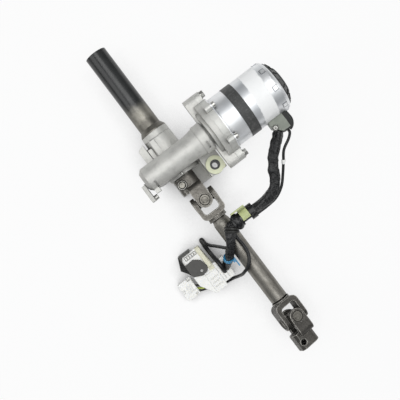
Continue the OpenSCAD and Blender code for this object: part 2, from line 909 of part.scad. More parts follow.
// two spliced ends under one cap
module spare_leads() {
  placed() color([0.13, 0.13, 0.13]) {
    cord(spare_path_a, thin_d, 8);
    cord(spare_path_b, splice_d, 10);
    translate([-39, -122, floor_z + 4.3]) rotate([-90, 0, 0]) cylinder(r = 4.3, h = 14);
  }
}

module blue_tie() {
  placed() color([0.25, 0.55, 0.7]) {
    cord([[-21.3, -151.2, 8.8], [-23.7, -153.6, 4.4]], branch_d + 2.4, 12);
    translate([-20, -162, 5]) cube([5, 6, 4.5]);
    translate([-17, -170, 6]) cube([2, 9, 1.2]);
  }
}

module main_connector() {
  placed() color([0.93, 0.93, 0.9])
    difference() {
      union() {
        translate([0, 0, floor_z]) linear_extrude(block_top - floor_z) polygon(main_outline);
        translate([-53.5, -147, block_top - 1]) cube([6, 31, 2.8]);
        translate([-64, -183, block_top - 1]) cube([18, 29, 2]);
      }
      translate([-74, -122, block_top - 3]) cube([19, 6, 6]);
      for (y = [-176, -170, -164]) translate([-61, y, block_top + 0.4]) cube([12, 1.4, 3]);
    }
  placed() color([0.93, 0.93, 0.9])
    for (i = [0 : 4]) translate([-73 + 3.8 * i, -121, block_top - 3.2]) cube([2, 4, 4.4]);
}

module mate_connector() {
  placed() color([0.92, 0.92, 0.89])
    difference() {
      translate([-46, -178, floor_z]) cube([17.5, 32, block_top - floor_z]);
      for (x = [-42, -37]) translate([x, -175, block_top - 1.2]) cube([1.4, 14, 3]);
      translate([-30, -172, floor_z - 1]) cube([4, 10, 12]);
    }
}

module connector_cap() {
  placed() color([0.3, 0.3, 0.29]) {
    translate([0, 0, floor_z]) linear_extrude(block_top - floor_z + 2.5) polygon(cap_outline);
    difference() {
      translate([0, 0, block_top]) linear_extrude(2.5) polygon(tab_outline);
      translate([-63.7, -145, block_top - 1]) cylinder(r = 2.1, h = 5);
    }
  }
}

module small_connector() {
  placed() color([0.93, 0.93, 0.91])
    difference() {
      union() {
        translate([-106, -171, floor_z]) cube([21, 28, 15]);
        translate([-99, -162, floor_z + 14]) cube([14, 10, 2.4]);
      }
      for (y = [-168, -152]) for (z = [2, 9])
        translate([-107, y, floor_z + z]) cube([9, 2 * cavity, cavity]);
      translate([-107, -159, floor_z + 11]) cube([5, 5, 6]);
      translate([-91, -172, floor_z + 9]) cube([7, 5, 8]);
      translate([-91, -147, floor_z + 9]) cube([7, 5, 8]);
    }
}

module pigtail_wires() {
  placed() color([0.5, 0.6, 0.25])
    for (path = pigtail_paths) cord(path, 2.8, 8);
}

column_tube();
upper_bearing();
gear_housing();
lower_cover();
cover_screws();
output_bearings();
torque_sensor();
sensor_cover();
worm_end_cover();
end_cover_bolt();
worm_bearings();
motor_flange();
ear_bolts();
flange_screws();
motor_can();
can_band();
magnets();
brush_holder();
motor_bearings();
motor_end_cap();
cable_boot();
mount_bush();
bush_sleeve();
input_shaft();
torsion_bar();
output_shaft();
wheel_hub();
worm_wheel();
upper_clamp_yoke();
upper_pinch_bolt();
upper_cups();
worm_shaft();
motor_coupling();
rotor();
upper_cross();
upper_weld_yoke();
mid_cups();
mid_tube();
slide_sleeve();
inner_shaft();
lower_weld_yoke();
inner_cups();
lower_cross();
lower_clamp_yoke();
lower_cups();
loom();
tape_wraps();
harness_clip();
branch_sleeve();
sensor_lead();
marker_sleeve();
thin_lead();
spare_leads();
blue_tie();
main_connector();
mate_connector();
connector_cap();
small_connector();
pigtail_wires();
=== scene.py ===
"""Looks of a power-assisted steering column: finishes, loom and small detail, in the part's frame."""

import json
import logging
import math
from dataclasses import dataclass
from enum import Enum
from typing import Callable, Sequence

import bpy
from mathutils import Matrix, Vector, noise

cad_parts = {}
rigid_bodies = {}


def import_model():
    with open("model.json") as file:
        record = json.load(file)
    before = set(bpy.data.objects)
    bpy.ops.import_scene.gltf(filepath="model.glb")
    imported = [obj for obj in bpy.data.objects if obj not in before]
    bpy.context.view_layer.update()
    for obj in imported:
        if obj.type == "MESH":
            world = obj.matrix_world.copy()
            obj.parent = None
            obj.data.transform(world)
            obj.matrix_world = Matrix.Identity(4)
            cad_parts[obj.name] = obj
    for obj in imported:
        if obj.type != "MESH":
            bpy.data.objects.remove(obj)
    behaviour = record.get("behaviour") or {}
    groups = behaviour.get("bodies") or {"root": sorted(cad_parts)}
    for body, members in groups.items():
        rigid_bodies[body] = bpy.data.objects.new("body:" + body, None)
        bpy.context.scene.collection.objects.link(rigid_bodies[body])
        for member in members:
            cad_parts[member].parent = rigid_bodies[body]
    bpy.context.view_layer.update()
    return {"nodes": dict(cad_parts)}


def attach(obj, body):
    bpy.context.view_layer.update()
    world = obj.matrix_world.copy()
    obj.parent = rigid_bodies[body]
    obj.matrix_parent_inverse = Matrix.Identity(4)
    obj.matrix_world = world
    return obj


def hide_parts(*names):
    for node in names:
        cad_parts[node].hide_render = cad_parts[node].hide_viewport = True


log = logging.getLogger("steering_column")

Point = Sequence[float]
Colour = tuple[float, float, float]
Profile = Sequence[tuple[float, float]]  # pairs of radius and height, in millimetres
Block = tuple[float, float, float]  # width, length and thickness of a small block, in metres
Socket = bpy.types.NodeSocket

TUBE_TOP = 187.0  # millimetres along the column from the gear's centre to the tube's upper end
GEAR_Z = 42.0  # height of the worm and the motor above the column's axis
FLOOR_Z = -42.0  # height of the surface that the part lies on
FAR = 999.0  # past every piece, in millimetres
UP = Vector((0, 0, 1))
ALONG = Vector((0, 1, 0))
RIGHT = Vector((1, 0, 0))
BOTH_SIDES = (-1, 1)
MIDDLE = (0.3, 0.7)  # where most of a noise lies
WIDE = (0.3, 0.72)  # the same with a longer bright end


class Body(Enum):
    """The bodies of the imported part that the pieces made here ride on."""

    HOUSING = "housing"
    STEER = "steer"
    MID_SHAFT = "mid_shaft"
    SLIDER = "slider"
    LOWER_END = "lower_end"


def at(x: float, y: float, z: float) -> Vector:
    """A point given in millimetres from the worm gear's centre, in the part's frame.

    Args:
        x: along the motor.
        y: along the column.
        z: up.

    Returns:
        The point in metres, from the upper end of the column tube.
    """
    return Vector((x, y - TUBE_TOP, z)) / 1000


def route(points: Sequence[Point]) -> list[Vector]:
    """A cord's route points in the part's frame."""
    return [at(*p) for p in points]


def ways_round(axis: Vector, count: int, start: float = 0.0) -> list[Vector]:
    """Evenly spaced directions out from an axis.

    Args:
        axis: the axis.
        count: how many directions.
        start: the first one's turn, as a share of a whole one.

    Returns:
        Unit vectors.
    """
    way = axis.normalized()
    side = way.orthogonal().normalized()
    up = way.cross(side)
    turns = [math.tau * (start + k / count) for k in range(count)]
    return [side * math.cos(turn) + up * math.sin(turn) for turn in turns]


def ring_of(
    centre: Vector, way: Vector, radius: float, count: int, start: float = 0.0
) -> list[tuple[Vector, Vector]]:
    """Evenly spaced places on a circle, with the way out from its centre.

    Args:
        centre: the circle's centre, in metres.
        way: its axis.
        radius: its radius in millimetres.
        count: how many places.
        start: the first one's turn, as a share of a whole one.

    Returns:
        Pairs of place and outward direction.
    """
    return [(centre + out * radius / 1000, out) for out in ways_round(way, count, start)]


def feed(tree: bpy.types.NodeTree, socket: Socket, value: object) -> None:
    """Links a socket to another one, or sets it to a value.

    Args:
        tree: the tree that both belong to.
        socket: the input to feed.
        value: an output socket or a constant.
    """
    if isinstance(value, Socket):
        tree.links.new(value, socket)
    else:
        socket.default_value = value


def add_node(
    tree: bpy.types.NodeTree, kind: str, inputs: dict | None = None, **settings: object
) -> bpy.types.Node:
    """Adds a node to a tree.

    Args:
        tree: the tree.
        kind: the node's type.
        inputs: sockets to link or values to set, by the input's name or number.
        settings: the node's own settings, made before its inputs.

    Returns:
        The node.
    """
    node = tree.nodes.new(kind)
    for name, value in settings.items():
        setattr(node, name, value)
    for key, value in (inputs or {}).items():
        feed(tree, node.inputs[key], value)
    return node


def placed(name: str, data: bpy.types.ID) -> bpy.types.Object:
    """Adds an object to the scene, at the origin.

    Args:
        name: its name.
        data: its mesh, light or camera.

    Returns:
        The object.
    """
    thing = bpy.data.objects.new(name, data)
    bpy.context.scene.collection.objects.link(thing)
    return thing


def shade(colour: Colour, factor: float) -> Colour:
    """A lighter or darker shade of a colour."""
    return tuple(min(1.0, c * factor) for c in colour)


class Sketch:
    """A material's node tree, with short calls for the nodes that the finishes share."""

    edge_flat: float = 0.99
    edge_sharp: float = 0.88
    edge_samples: int = 6
    # Occlusion bounds of the painted shade in corners and joints.
    painted_shade_open: float = 0.82
    painted_shade_deep: float = 0.3
    painted_shade_samples: int = 5

    def __init__(self, name: str) -> None:
        """Starts a material with one shader.

        Args:
            name: the material's name.
        """
        self.material = bpy.data.materials.new(name)
        self.material.use_nodes = True
        self.tree = self.material.node_tree
        self.tree.nodes.clear()
        self.shader = self.node("BsdfPrincipled")
        self.node("OutputMaterial", {"Surface": self.shader.outputs["BSDF"]})
        self.place = self.node("TexCoord")

    def node(self, kind: str, inputs: dict | None = None, **settings: object) -> bpy.types.Node:
        """Adds a shader node."""
        return add_node(self.tree, f"ShaderNode{kind}", inputs, **settings)

    def finish(self, **inputs: object) -> bpy.types.Material:
        """Joins or sets the shader's inputs.

        Args:
            inputs: sockets or constants by the input's name, with _ for a space.

        Returns:
            The material.
        """
        for name, value in inputs.items():
            feed(self.tree, self.shader.inputs[name.replace("_", " ")], value)
        return self.material

    def surface(self, uv: bool) -> Socket:
        """The piece's own UV map, or its place."""
        return self.place.outputs["UV" if uv else "Object"]

    def coords(self, stretch: Point = (1, 1, 1), turn: Point = (0, 0, 0), uv: bool = False) -> Socket:
        """Surface coordinates, stretched and turned.

        Args:
            stretch: factors along the three axes.
            turn: turn about the three axes, in degrees.
            uv: read the piece's own UV map instead of its place.

        Returns:
            The vector socket.
        """
        turned = [math.radians(angle) for angle in turn]
        inputs = {"Scale": stretch, "Rotation": turned, "Vector": self.surface(uv)}
        return self.node("Mapping", inputs).outputs["Vector"]

    def axis(self, name: str, uv: bool = False) -> Socket:
        """One coordinate of the surface point, X, Y or Z."""
        return self.node("SeparateXYZ", {"Vector": self.surface(uv)}).outputs[name]

    def grain(
        self,
        scale: float,
        detail: float = 4,
        rough: float = 0.55,
        where: Socket | None = None,
        bend: float = 0,
    ) -> Socket:
        """A noise value.

        Args:
            scale: bumps per metre.
            detail: octaves.
            rough: weight of the fine octaves.
            where: coordinates, or None for the plain ones.
            bend: distortion.

        Returns:
            The value socket.
        """
        inputs = {"Scale": scale, "Detail": detail, "Roughness": rough, "Distortion": bend}
        return self.node("TexNoise", {**inputs, "Vector": where or self.coords()}).outputs["Fac"]

    def lines(self, scale: float, bend: float) -> Socket:
        """Parallel waves across the motor's axis."""
        inputs = {"Scale": scale, "Distortion": bend, "Detail": 2, "Vector": self.coords()}
        return self.node("TexWave", inputs, bands_direction="X").outputs["Fac"]

    def reckon(self, kind: str, a: object, b: object) -> Socket:
        """A sum, product or other reckoning of two values."""
        return self.node("Math", {0: a, 1: b}, operation=kind).outputs[0]

    def times(self, first: Socket, *others: object) -> Socket:
        """The product of several values.

        Args:
            first: the first value.
            others: what it is multiplied by.

        Returns:
            The value socket.
        """
        for other in others:
            first = self.reckon("MULTIPLY", first, other)
        return first

    def span(
        self, value: Socket, low: float, high: float, start: float = 0, end: float = 1, smooth: bool = False
    ) -> Socket:
        """Carries a value from one range to another and stops at the ends.

        Args:
            value: the socket to read.
            low: its low end.
            high: its high end.
            start: the result at the low end.
            end: the result at the high end.
            smooth: ease in and out.

        Returns:
            The value socket.
        """
        inputs = {"Value": value, "From Min": low, "From Max": high, "To Min": start, "To Max": end}
        kind = "SMOOTHSTEP" if smooth else "LINEAR"
        return self.node("MapRange", inputs, interpolation_type=kind).outputs["Result"]

    def window(self, value: Socket, low: float, high: float, soft: float = 0.0006) -> Socket:
        """1 where a value lies between two bounds, with soft ends inside them."""
        return self.times(self.span(value, low, low + soft), self.span(value, high, high - soft))

    def ragged(self, value: Socket, noise_at: Socket, reach: float, low: float = 0.2) -> Socket:
        """A value moved to and fro by a noise, by that reach at most."""
        return self.reckon("ADD", value, self.span(noise_at, low, 1 - low, -reach, reach))

    def blend(self, share: object, a: object, b: object) -> Socket:
        """Mixes two colours, given as colours or sockets.

        Args:
            share: the second colour's share.
            a: the first colour.
            b: the second colour.

        Returns:
            The colour socket.
        """
        inputs = {0: share}
        for key, value in ((6, a), (7, b)):
            inputs[key] = value if isinstance(value, Socket) else (*value, 1)
        return self.node("Mix", inputs, data_type="RGBA").outputs[2]

    def mottle(
        self, value: Socket, low: float, high: float, colour: Colour, first: float, second: float
    ) -> Socket:
        """Two shades of a colour, shared out by where a value lies between two bounds."""
        return self.blend(self.span(value, low, high), shade(colour, first), shade(colour, second))

    def tint(
        self, tone: Socket, value: Socket, low: float, high: float, most: float, colour: Colour
    ) -> Socket:
        """Lays a colour over a tone where a value is high, by a share of that at most."""
        return self.blend(self.span(value, low, high, 0, most), tone, colour)

    def relief(self, height: Socket, depth: float, strength: float, under: Socket | None = None) -> Socket:
        """A bump in the surface.

        Args:
            height: the value that shapes it.
            depth: its depth in metres.
            strength: how strongly it shows.
            under: the normal that it lies on, or None for the plain one.

        Returns:
            The normal socket.
        """
        inputs = {"Strength": strength, "Distance": depth, "Height": height}
        if under is not None:
            inputs["Normal"] = under
        return self.node("Bump", inputs).outputs["Normal"]

    def rounding(self, radius: float) -> Socket:
        """Shading normals that round the edges by that radius in metres."""
        return self.node("Bevel", {"Radius": radius}, samples=self.edge_samples).outputs["Normal"]

    def edge_wear_and_highlight(
        self, tone: Socket, radius: float, most: float, colour: Colour, low: float = 0.34, high: float = 0.6
    ) -> Socket:
        """Lays a colour over a tone along the edges, in broken runs: wear that handling rubs bright, and a
        painted edge highlight.

        Args:
            tone: the tone below.
            radius: how far from the edge it reaches, in metres.
            most: the colour's largest share.
            colour: the colour of the worn edges and their painted highlight.
            low: noise level below which an edge stays dull.
            high: noise level above which it is fully bright.

        Returns:
            The colour socket.
        """
        # Rounded normals against flat ones find the edges: worn edges and a painted edge highlight.
        flat = self.node("NewGeometry").outputs["Normal"]
        facing = self.node("VectorMath", {0: self.rounding(radius), 1: flat}, operation="DOT_PRODUCT")
        edge = self.span(facing.outputs["Value"], self.edge_flat, self.edge_sharp)
        broken = self.span(self.grain(210, 4, 0.65), low, high)
        return self.blend(self.times(edge, broken, most), tone, colour)

    def painted_shade_mask(self, reach: float, most: float) -> Socket:
        """A mask of the corners and joints that nearby walls shade, for painted shade.

        Args:
            reach: how far it looks for a neighbouring wall, in metres.
            most: the mask's value in the deepest corner.

        Returns:
            The value socket.
        """
        node = self.node("AmbientOcclusion", {"Distance": reach}, samples=self.painted_shade_samples)
        return self.span(node.outputs["AO"], self.painted_shade_open, self.painted_shade_deep, 0, most)

    def painted_crevice_shade(self, tone: Socket, reach: float, most: float, colour: Colour) -> Socket:
        """Lays a darker colour over a tone in its corners and joints: painted shade."""
        return self.blend(self.painted_shade_mask(reach, most), tone, colour)


@dataclass(frozen=True)
class Finish:
    """A named finish, made into a material once."""

    name: str
    slot: str
    colour: Colour

    def material(self) -> bpy.types.Material:
        """The finish's material, made at its first use."""
        return bpy.data.materials.get(self.name) or self.make(Sketch(self.name))

    def make(self, sketch: Sketch) -> bpy.types.Material:
        """Works the finish out.

        Args:
            sketch: the material's empty sketch.

        Returns:
            The material.
        """
        raise NotImplementedError


@dataclass(frozen=True)
class CastMetal(Finish):
    """Sand-blasted cast aluminium with soft edges, an uneven skin, dull patches and a fine grain."""

    edge: float = 0.0011
    rough: float = 0.5
    metal: float = 0.4

    def make(self, sketch: Sketch) -> bpy.types.Material:
        """Works the finish out.

        Args:
            sketch: the material's empty sketch.

        Returns:
            The material.
        """
        cloud = sketch.grain(38, 3, 0.5)
        tone = sketch.mottle(cloud, *MIDDLE, self.colour, 0.8, 1.13)
        tone = sketch.tint(tone, sketch.grain(120, 5, 0.65), 0.5, 0.7, 0.45, shade(self.colour, 0.62))
        tone = sketch.tint(tone, sketch.grain(900, 2, 0.6), 0.35, 0.7, 0.3, shade(self.colour, 1.18))
        # Lighter edges: wear and a painted edge highlight.
        tone = sketch.edge_wear_and_highlight(tone, self.edge, 0.5, shade(self.colour, 1.3))
        # Darker corners and joints: painted shade.
        tone = sketch.painted_crevice_shade(tone, 0.008, 0.75, shade(self.colour, 0.28))
        rough = sketch.span(cloud, *MIDDLE, self.rough - 0.06, self.rough + 0.1)
        normal = sketch.relief(sketch.grain(75, 4, 0.6), 0.0014, 0.45, sketch.rounding(self.edge))
        normal = sketch.relief(sketch.grain(420, 3, 0.6), 0.00026, 0.6, normal)
        return sketch.finish(Base_Color=tone, Roughness=rough, Normal=normal, Metallic=self.metal)


@dataclass(frozen=True)
class WornTubePaint(Finish):
    """Satin black paint, rubbed to bare steel towards the flared foot, with a painted reflection: a bright
    patch on its top side.
    """

    bare: Colour = (0.205, 0.195, 0.17)
    bare_from: float = -0.108
    painted_from: float = -0.082
    torn_reach: float = 0.016
    # Bounds of the painted reflection, a bright patch on the tube's top side near the foot.
    reflection_from: float = -0.118
    reflection_to: float = -0.09
    reflection_soft: float = 0.004
    reflection_low: float = 0.006
    reflection_high: float = 0.012

    def make(self, sketch: Sketch) -> bpy.types.Material:
        """Works the finish out.

        Args:
            sketch: the material's empty sketch.

        Returns:
            The material.
        """
        along = sketch.axis("Y")
        torn = sketch.grain(30, 4, 0.55, sketch.coords((1.0, 0.8, 1.0), (0, 0, 38)), 0.4)
        edge = sketch.ragged(along, torn, self.torn_reach)
        paint = sketch.span(edge, self.bare_from, self.painted_from, 0, 1, True)
        scuff = sketch.grain(230, 4, 0.7, sketch.coords((1, 0.25, 1), (0, 0, 30)))
        paint = sketch.times(paint, sketch.span(scuff, 0.62, 0.74, 1, 0.868))
        dull = sketch.grain(90, 5, 0.6, sketch.coords((1, 0.4, 1)))
        steel = sketch.mottle(dull, *WIDE, self.bare, 0.6, 1.15)
        # The painted reflection: a bright patch on the tube's top side near the foot, laid over the bare
        # steel.
        run = sketch.ragged(along, sketch.grain(95, 4, 0.6), self.reflection_soft, 0.25)
        rubbed = sketch.span(sketch.grain(70, 4, 0.6), 0.34, 0.6, 0.35, 0.95)
        rubbed = sketch.times(rubbed, sketch.window(run, self.reflection_from, self.reflection_to, self.reflection_soft))
        rubbed = sketch.times(rubbed, sketch.span(sketch.axis("Z"), self.reflection_low, self.reflection_high))
        steel = sketch.blend(rubbed, steel, shade(self.bare, 1.7))
        tone = sketch.blend(paint, steel, sketch.mottle(sketch.grain(60), *MIDDLE, self.colour, 0.8, 1.35))
        satin, uneven = sketch.span(paint, 0, 1, 0.42, 0.24), sketch.span(dull, *MIDDLE, -0.04, 0.06)
        rough = sketch.reckon("ADD", satin, uneven)
        normal = sketch.relief(sketch.grain(700, 3), 0.00008, 0.4, sketch.rounding(0.0006))
        metal = sketch.span(paint, 0, 1, 0.75, 0.0)
        return sketch.finish(Base_Color=tone, Roughness=rough, Normal=normal, Metallic=metal)


@dataclass(frozen=True)
class PlatedCan(Finish):
    """Bright plated sheet with fine lines round it, grey-blue patches painted as reflections and a bare white
    field.
    """

    field_from: float = 0.129
    field_to: float = 0.152
    field_low: float = 0.03
    lean: float = -0.075
    white: Colour = (0.97, 0.975, 0.97)
    # Grey-blue of the painted reflections, also darkened for the painted shade.
    reflected_blue: Colour = (0.42, 0.455, 0.49)

    def make(self, sketch: Sketch) -> bpy.types.Material:
        """Works the finish out.

        Args:
            sketch: the material's empty sketch.

        Returns:
            The material.
        """
        across = sketch.reckon("ADD", sketch.axis("Y"), TUBE_TOP / 1000)
        x = sketch.reckon("ADD", sketch.axis("X"), sketch.times(across, self.lean))
        x = sketch.ragged(x, sketch.grain(160, 4, 0.65), 0.0009)
        top = sketch.span(sketch.axis("Z"), self.field_low, self.field_low + 0.0008)
        rubbed = sketch.span(sketch.grain(420, 5, 0.7), 0.6, 0.72, 1, 0.45)
        white = sketch.times(sketch.window(x, self.field_from, self.field_to), top, rubbed)
        brush = sketch.grain(2600, 3, 0.6, sketch.coords((1, 0.02, 0.02)))
        cloud = sketch.grain(30, 4, 0.55)
        tone = sketch.mottle(cloud, *MIDDLE, self.colour, 0.94, 1.05)
        # Grey-blue patches: painted reflections.
        patch = sketch.grain(16, 3, 0.5, sketch.coords((0.8, 1.5, 1.5)))
        tone = sketch.tint(tone, patch, 0.5, 0.7, 0.6, self.reflected_blue)
        tone = sketch.tint(tone, brush, *MIDDLE, 0.2, shade(self.colour, 0.85))
        tone = sketch.blend(white, tone, self.white)
        # Darker corners and joints: painted shade.
        tone = sketch.painted_crevice_shade(tone, 0.005, 0.7, shade(self.reflected_blue, 0.3))
        rough = sketch.reckon("ADD", sketch.span(cloud, *MIDDLE, 0.36, 0.46), sketch.times(white, 0.1))
        normal = sketch.relief(brush, 0.00003, 0.3)
        metal = sketch.span(white, 0, 1, 0.7, 0)
        return sketch.finish(Base_Color=tone, Roughness=rough, Normal=normal, Metallic=metal)


@dataclass(frozen=True)
class TurnedSteel(Finish):
    """Machined steel with brown staining, lathe lines across the shaft, rubbed edges with a painted edge
    highlight and painted shade in its corners.
    """

    stain: Colour
    rough: float
    metal: float
    edge: float = 0.0006

    def make(self, sketch: Sketch) -> bpy.types.Material:
        """Works the finish out.

        Args:
            sketch: the material's empty sketch.

        Returns:
            The material.
        """
        cloud = sketch.grain(55, 5, 0.6, sketch.coords((1.4, 0.7, 1.4)))
        streak = sketch.grain(120, 5, 0.66, sketch.coords((1, 0.45, 1), (0, 0, 24)))
        tone = sketch.mottle(cloud, 0.34, 0.7, self.colour, 1.15, 0.82)
        tone = sketch.tint(tone, streak, 0.45, 0.75, 0.5, self.stain)
        tone = sketch.tint(tone, sketch.grain(1100, 2), 0.4, 0.75, 0.3, shade(self.colour, 1.25))
        # Lighter edges: wear and a painted edge highlight.
        tone = sketch.edge_wear_and_highlight(tone, self.edge, 0.6, shade(self.colour, 1.9))
        # Darker corners and joints: painted shade.
        tone = sketch.painted_crevice_shade(tone, 0.006, 0.8, shade(self.stain, 0.3))
        rough = sketch.span(streak, 0.3, 0.75, self.rough - 0.05, self.rough + 0.16)
        turned = sketch.grain(1900, 2, 0.5, sketch.coords((0.05, 1, 0.05)))
        normal = sketch.relief(turned, 0.00005, 0.35, sketch.rounding(self.edge))
        return sketch.finish(Base_Color=tone, Roughness=rough, Normal=normal, Metallic=self.metal)


@dataclass(frozen=True)
class ForgedSteel(Finish):
    """Forged steel with a scaly, oiled skin, rubbed edges with a painted edge highlight, and painted shade
    that turns its holes black.
    """

    scale: Colour
    rough: float = 0.4
    metal: float = 0.75
    edge: float = 0.0021
    # Colour of the worn edges and their painted highlight.
    rubbed: Colour = (0.56, 0.54, 0.495)

    def make(self, sketch: Sketch) -> bpy.types.Material:
        """Works the finish out.

        Args:
            sketch: the material's empty sketch.

        Returns:
            The material.
        """
        pits = sketch.grain(520, 4, 0.66)
        tone = sketch.mottle(sketch.grain(75, 5, 0.62), 0.36, 0.68, self.colour, 1.2, 0.75)
        tone = sketch.tint(tone, pits, 0.5, 0.72, 0.55, self.scale)
        tone = sketch.edge_wear_and_highlight(tone, self.edge, 0.9, self.rubbed, 0.26, 0.5)
        # Painted shade: darkens corners and holes and takes their gloss away.
        hole_shade = sketch.painted_shade_mask(0.01, 0.95)
        tone = sketch.blend(hole_shade, tone, shade(self.scale, 0.12))
        rough = sketch.span(pits, *WIDE, self.rough - 0.06, self.rough + 0.18)
        normal = sketch.relief(pits, 0.00025, 0.5, sketch.rounding(self.edge * 0.5))
        gloss, metal = (sketch.span(hole_shade, 0, 0.7, clean, 0) for clean in (0.5, self.metal))
        return sketch.finish(
            Base_Color=tone, Roughness=rough, Normal=normal, Metallic=metal, Specular_IOR_Level=gloss
        )


@dataclass(frozen=True)
class PlatedSteel(Finish):
    """Zinc-plated or ground steel of small fasteners, cups and bearings."""

    rough: float
    edge: float = 0.0004

    def make(self, sketch: Sketch) -> bpy.types.Material:
        """Works the finish out.

        Args:
            sketch: the material's empty sketch.

        Returns:
            The material.
        """
        cloud = sketch.grain(140, 4, 0.6)
        fleck = sketch.grain(1300, 2)
        tone = sketch.mottle(cloud, 0.32, 0.7, self.colour, 1.12, 0.72)
        tone = sketch.tint(tone, fleck, 0.45, 0.75, 0.3, shade(self.colour, 0.55))
        # Darker corners and joints: painted shade.
        tone = sketch.painted_crevice_shade(tone, 0.004, 0.8, shade(self.colour, 0.18))
        rough = sketch.span(cloud, *MIDDLE, self.rough - 0.06, self.rough + 0.14)
        normal = sketch.relief(fleck, 0.00006, 0.4, sketch.rounding(self.edge))
        return sketch.finish(Base_Color=tone, Roughness=rough, Normal=normal, Metallic=0.9)


@dataclass(frozen=True)
class Moulding(Finish):
    """Moulded plastic or rubber with a faint sparked grain, dust, soft edges with a painted edge highlight,
    and painted shade in its corners.
    """

    rough: float = 0.42
    dust: float = 0.12
    depth: float = 0.00006
    edge: float = 0.0005
    glow: float = 0.0
    # Largest share of the painted shade in corners and joints.
    painted_crevice_shade: float = 0.65
    glow_depth: float = 0.003
    glow_reach: Colour = (0.9, 0.85, 0.75)

    def make(self, sketch: Sketch) -> bpy.types.Material:
        """Works the finish out.

        Args:
            sketch: the material's empty sketch.

        Returns:
            The material.
        """
        cloud = sketch.grain(85, 4, 0.6)
        rough = sketch.span(cloud, *WIDE, self.rough - 0.05, self.rough + 0.09)
        if self.glow:
            sketch.finish(Subsurface_Weight=self.glow, Subsurface_Scale=self.glow_depth)
            sketch.finish(Subsurface_Radius=self.glow_reach)
        gloss = 0.22 if sum(self.colour) < 0.5 else 0.5
        tone, normal = self.tone(sketch, cloud), self.normal(sketch)
        return sketch.finish(Base_Color=tone, Roughness=rough, Normal=normal, Specular_IOR_Level=gloss)

    def tone(self, sketch: Sketch, cloud: Socket) -> Socket:
        """The moulding's colour.

        Args:
            sketch: the material's sketch.
            cloud: its slow noise.

        Returns:
            The colour socket.
        """
        grey = (0.3, 0.3, 0.29) if sum(self.colour) < 1 else shade(self.colour, 0.7)
        tone = sketch.mottle(cloud, *WIDE, self.colour, 0.9, 1.08)
        tone = sketch.tint(tone, sketch.grain(260, 5, 0.7), 0.5, 0.76, self.dust, grey)
        # Lighter edges: wear and a painted edge highlight; darker corners and joints: painted shade.
        tone = sketch.edge_wear_and_highlight(tone, self.edge, 0.35, shade(self.colour, 1.5))
        return sketch.painted_crevice_shade(tone, 0.006, self.painted_crevice_shade, shade(self.colour, 0.22))

    def normal(self, sketch: Sketch) -> Socket:
        """The moulding's grain."""
        return sketch.relief(sketch.grain(1500, 3, 0.6), self.depth, 0.5, sketch.rounding(self.edge))


@dataclass(frozen=True)
class ZonedMoulding(Moulding):
    """A moulding whose colour changes inside a box, given in millimetres from the gear's centre."""

    zone: Colour = (0.5, 0.5, 0.5)
    low: tuple[float, float, float] = (-FAR, -FAR, -FAR)
    high: tuple[float, float, float] = (FAR, FAR, FAR)
    lumps: float = 0.0
    wave: float = 0.0004

    def inside(self, sketch: Sketch) -> Socket:
        """A mask of the box, with slightly wavy bounds.

        Args:
            sketch: the material's sketch.

        Returns:
            The value socket.
        """
        sides = []
        for name, least, most, shift in zip("XYZ", self.low, self.high, (0.0, TUBE_TOP, 0.0)):
            value = sketch.reckon("ADD", sketch.axis(name), shift / 1000)
            value = sketch.ragged(value, sketch.grain(90, 3), self.wave)
            sides.append(sketch.window(value, least / 1000, most / 1000))
        return sketch.times(*sides)

    def tone(self, sketch: Sketch, cloud: Socket) -> Socket:
        """The moulding's two colours.

        Args:
            sketch: the material's sketch.
            cloud: its slow noise.

        Returns:
            The colour socket.
        """
        tone = sketch.blend(self.inside(sketch), self.colour, self.zone)
        tone = sketch.tint(tone, cloud, *WIDE, self.dust, shade(self.colour, 0.6))
        # Lighter edges: wear and a painted edge highlight; darker corners and joints: painted shade.
        tone = sketch.edge_wear_and_highlight(tone, self.edge, 0.4, shade(self.zone, 1.3))
        return sketch.painted_crevice_shade(tone, 0.006, self.painted_crevice_shade, shade(self.colour, 0.2))

    def normal(self, sketch: Sketch) -> Socket:
        """The moulding's grain, with lumps inside the box where it has them.

        Args:
            sketch: the material's sketch.

        Returns:
            The normal socket.
        """
        normal = super().normal(sketch)
        if self.lumps:
            bumpy = sketch.times(sketch.grain(210, 2, 0.5), self.inside(sketch))
            normal = sketch.relief(bumpy, self.lumps, 0.9, normal)
        return normal


@dataclass(frozen=True)
class WoundTape(Finish):
    """Black vinyl tape wound along a loom, with lapped edges and creases."""

    lap: float
    rough: float

    def make(self, sketch: Sketch) -> bpy.types.Material:
        """Works the finish out.

        Args:
            sketch: the material's empty sketch.

        Returns:
            The material.
        """
        along = sketch.reckon("ADD", sketch.axis("X", True), sketch.times(sketch.axis("Y", True), self.lap))
        turn = sketch.ragged(along, sketch.grain(70, 3), 0.0016)
        lapped = sketch.reckon("FRACT", sketch.reckon("DIVIDE", turn, self.lap), 0)
        crease = sketch.grain(1, 4, 0.6, sketch.coords((105, 7, 1), uv=True), 0.6)
        # Crease ridges lighter than their hollows: a painted sheen on the tape's creases.
        tone = sketch.mottle(crease, 0.32, 0.72, self.colour, 0.7, 1.6)
        tone = sketch.tint(tone, lapped, 0.9, 1.0, 0.5, (0.1, 0.1, 0.1))
        rough = sketch.span(crease, *MIDDLE, self.rough - 0.06, self.rough + 0.16)
        normal = sketch.relief(sketch.span(lapped, 0.0, 0.9), 0.0006, 0.8)
        normal = sketch.relief(crease, 0.0032, 0.9, normal)
        normal = sketch.relief(sketch.grain(700, 3), 0.0001, 0.5, normal)
        return sketch.finish(Base_Color=tone, Roughness=rough, Normal=normal, Specular_IOR_Level=0.4)


